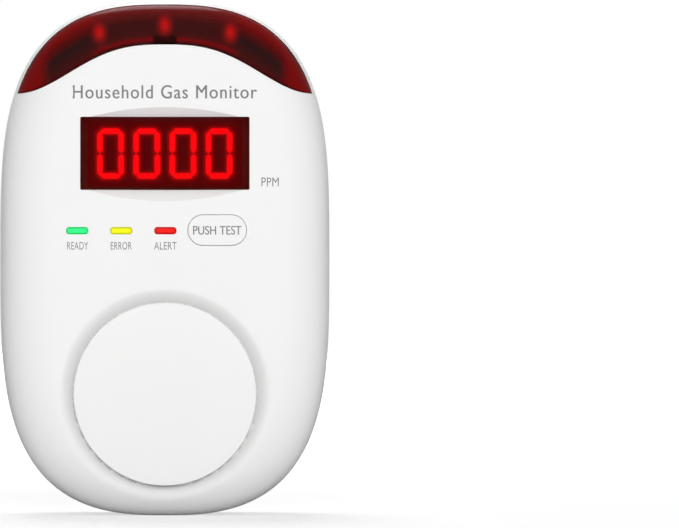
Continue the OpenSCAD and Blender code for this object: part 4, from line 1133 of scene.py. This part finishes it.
# the label's lines: text, width and middle height, all starting at the same left edge
backText = {
    "left": 16.25, "tall": 1.78,
    "rows": (("Type: Plug-in", 15.2, 8.75), ("Supply: Mains outlet", 24.5, 4.3),
             ("Reading: 0 - 999", 19.9, 0.5), ("Test: Press once a week", 29.5, -3.9),
             ("Place: Indoors, on a wall", 31.2, -8.2)),
}


def backLettering():
    left = labelMiddle[0] + backText["left"]
    lines = [(text, left - width / 2, labelMiddle[2] + z, backText["tall"], width, 1.05, 0.08)
             for text, width, z in backText["rows"]]
    return lettering("backLettering", lines, lambda x, z: case["backDepth"], -1)


settled(frontLettering(), "housing", finishes["grey_ink"])
settled(buttonLettering(), "button", finishes["grey_ink"])
settled(backLettering(), "housing", finishes["black_ink"])
print("lettering made")

# the finishes of the pieces inside, which keep the frame's shapes
innerFinishes = {
    "lens_block": "black_plastic", "display_segments": "lit_segments", "switch_stem": "black_plastic",
    "tact_switch": "tinned_steel", "circuit_board": "board_laminate", "alarm_leds": "led_epoxy",
    "indicator_leds": "led_ceramic", "sounder_cup": "black_plastic", "sounder_disc": "sounder_brass",
    "co_sensor": "sensor_steel", "sensor_filter": "filter_disc", "microcontroller": "chip_epoxy",
    "mains_capacitor": "yellow_plastic", "electrolytic_capacitors": "can_sleeve", "varistor": "blue_epoxy",
    "fuse": "fuse_ceramic", "transformer": "ferrite", "contact_holder": "holder_plastic",
    "plug_contacts": "contact_brass", "board_screws": "tinned_steel",
}
for node, finish in innerFinishes.items():
    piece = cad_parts[node]
    if not piece.data.materials:
        piece.data.materials.append(None)
    for i in range(len(piece.material_slots)):
        piece.material_slots[i].material = finishes[finish]
print("inner finishes given")

# the floor, the light and the camera
stage = {
    "floorColour": (0.42, 0.42, 0.42), "glowNear": 0.62, "glowFar": 1.05, "glowFrom": 110.0, "glowTo": 500.0,
    "floorRadius": 3000.0, "floorAround": 96,
    "frontLight": {"place": (190, -2550, 320), "size": 1500, "power": 51.0},
    "lowLight": {"place": (0, -900, -40), "size": 260, "power": 2.1},
    "backLight": {"place": (-200, 2550, 360), "size": 1500, "power": 35.0},
    "topLight": {"place": (-150, 1100, 2300), "size": 1300, "power": 37.0},
    "lightsAimAt": (0, -15, -25), "worldSeen": 1.0, "worldLight": 0.2,
    "worldMirrored": (-0.12, 0.2, 0.15, 1.3),
    "distance": 1500.0, "sensor": 36.0, "acrossFrame": 135.5, "middleX": 34.85, "middleZ": -26.6,
}


# a wide round floor, whose own light rises smoothly away from the detector
def floor():
    s = stage
    r = np.concatenate([[0.01], np.linspace(20, 800, 59), np.linspace(850, s["floorRadius"], 20)])[:, None]
    t = (np.arange(s["floorAround"]) * 2 * np.pi / s["floorAround"])[None]
    grid = places(r * np.cos(t), -r * np.sin(t), bottomZ)
    ground = surfaceMesh("floor", [(grid, True)])
    at = pointsOf(ground)
    rise = smoothStep(np.hypot(at[:, 0], at[:, 1] + faceDepth / 2), s["glowFrom"], s["glowTo"])
    glow = s["glowNear"] + (s["glowFar"] - s["glowNear"]) * rise
    paint(ground, "glow", glow)
    work = bmesh.new()
    work.from_mesh(ground.data)
    bmesh.ops.reverse_faces(work, faces=[face for face in work.faces if face.normal.z < 0])
    work.to_mesh(ground.data)
    work.free()
    paper = grained("floorPaper", s["floorColour"], 0.995, (0.85, 0.95), 0.0, 600, 8,
                    shine=0.0, glow="painted")
    # the glow is for the eye only, so the floor doesn't light the detector from below
    tree = paper.node_tree
    seen = tree.nodes.new("ShaderNodeLightPath").outputs["Is Camera Ray"]
    tree.links.new(seen, tree.nodes["Principled BSDF"].inputs["Emission Strength"])
    ground.data.materials.append(paper)
    smoothed(ground, 60)


# a round area light; only the one above shows in gloss
def areaLight(name, target):
    settings = stage[name]
    light = bpy.data.lights.new(name, "AREA")
    light.shape = "DISK"
    light.size = settings["size"] * mm
    light.energy = settings["power"]
    lamp = placed(name, light)
    lamp.location = Vector(settings["place"]) * mm
    lamp.visible_camera = False
    lamp.visible_glossy = name == "topLight"
    lamp.rotation_euler = (Vector(target) * mm - lamp.location).to_track_quat("-Z", "Y").to_euler()


# the surroundings look white, light the detector more softly than they look, and show in gloss
# as dim near and below the floor and bright above
def surroundings():
    world = bpy.data.worlds.new("softWorld")
    world.use_nodes = True
    nodes, links = world.node_tree.nodes, world.node_tree.links

    def background(node, strength):
        setInputs(node, {"Color": (1, 1, 1, 1), "Strength": strength})
        return node

    seen = background(nodes["Background"], stage["worldSeen"])
    lighting = background(nodes.new("ShaderNodeBackground"), stage["worldLight"])
    mirrored = background(nodes.new("ShaderNodeBackground"), 1)
    kinds = ("TexCoord", "SeparateXYZ", "MapRange", "LightPath", "MixShader", "MixShader")
    place, split, height, rays, mix, glossMix = (nodes.new("ShaderNode" + kind) for kind in kinds)
    setInputs(height, dict(zip(("From Min", "From Max", "To Min", "To Max"), stage["worldMirrored"])))
    for start, end in ((place.outputs["Generated"], split.inputs["Vector"]),
                       (split.outputs["Z"], height.inputs["Value"]),
                       (height.outputs["Result"], mirrored.inputs["Strength"]),
                       (rays.outputs["Is Glossy Ray"], glossMix.inputs["Fac"]),
                       (lighting.outputs["Background"], glossMix.inputs[1]),
                       (mirrored.outputs["Background"], glossMix.inputs[2]),
                       (rays.outputs["Is Camera Ray"], mix.inputs["Fac"]),
                       (glossMix.outputs["Shader"], mix.inputs[1]),
                       (seen.outputs["Background"], mix.inputs[2]),
                       (mix.outputs["Shader"], nodes["World Output"].inputs["Surface"])):
        links.new(start, end)
    bpy.context.scene.world = world


floor()
for name in ("frontLight", "lowLight", "backLight", "topLight"):
    areaLight(name, stage["lightsAimAt"])
surroundings()
bpy.context.scene.view_settings.view_transform = "Standard"

# the camera looks straight at the front; the shift sets the detector to the left of the frame
camera = placed("camera", bpy.data.cameras.new("camera"))
camera.data.sensor_width = stage["sensor"]
camera.data.lens = stage["sensor"] * (stage["distance"] - faceDepth) / stage["acrossFrame"]
camera.data.clip_start, camera.data.clip_end = 0.01, 20
camera.data.shift_x = stage["middleX"] / stage["acrossFrame"]
camera.location = Vector((0, -stage["distance"], stage["middleZ"])) * mm
camera.rotation_euler = (math.radians(90), 0, 0)
bpy.context.scene.camera = camera
print("stage made")
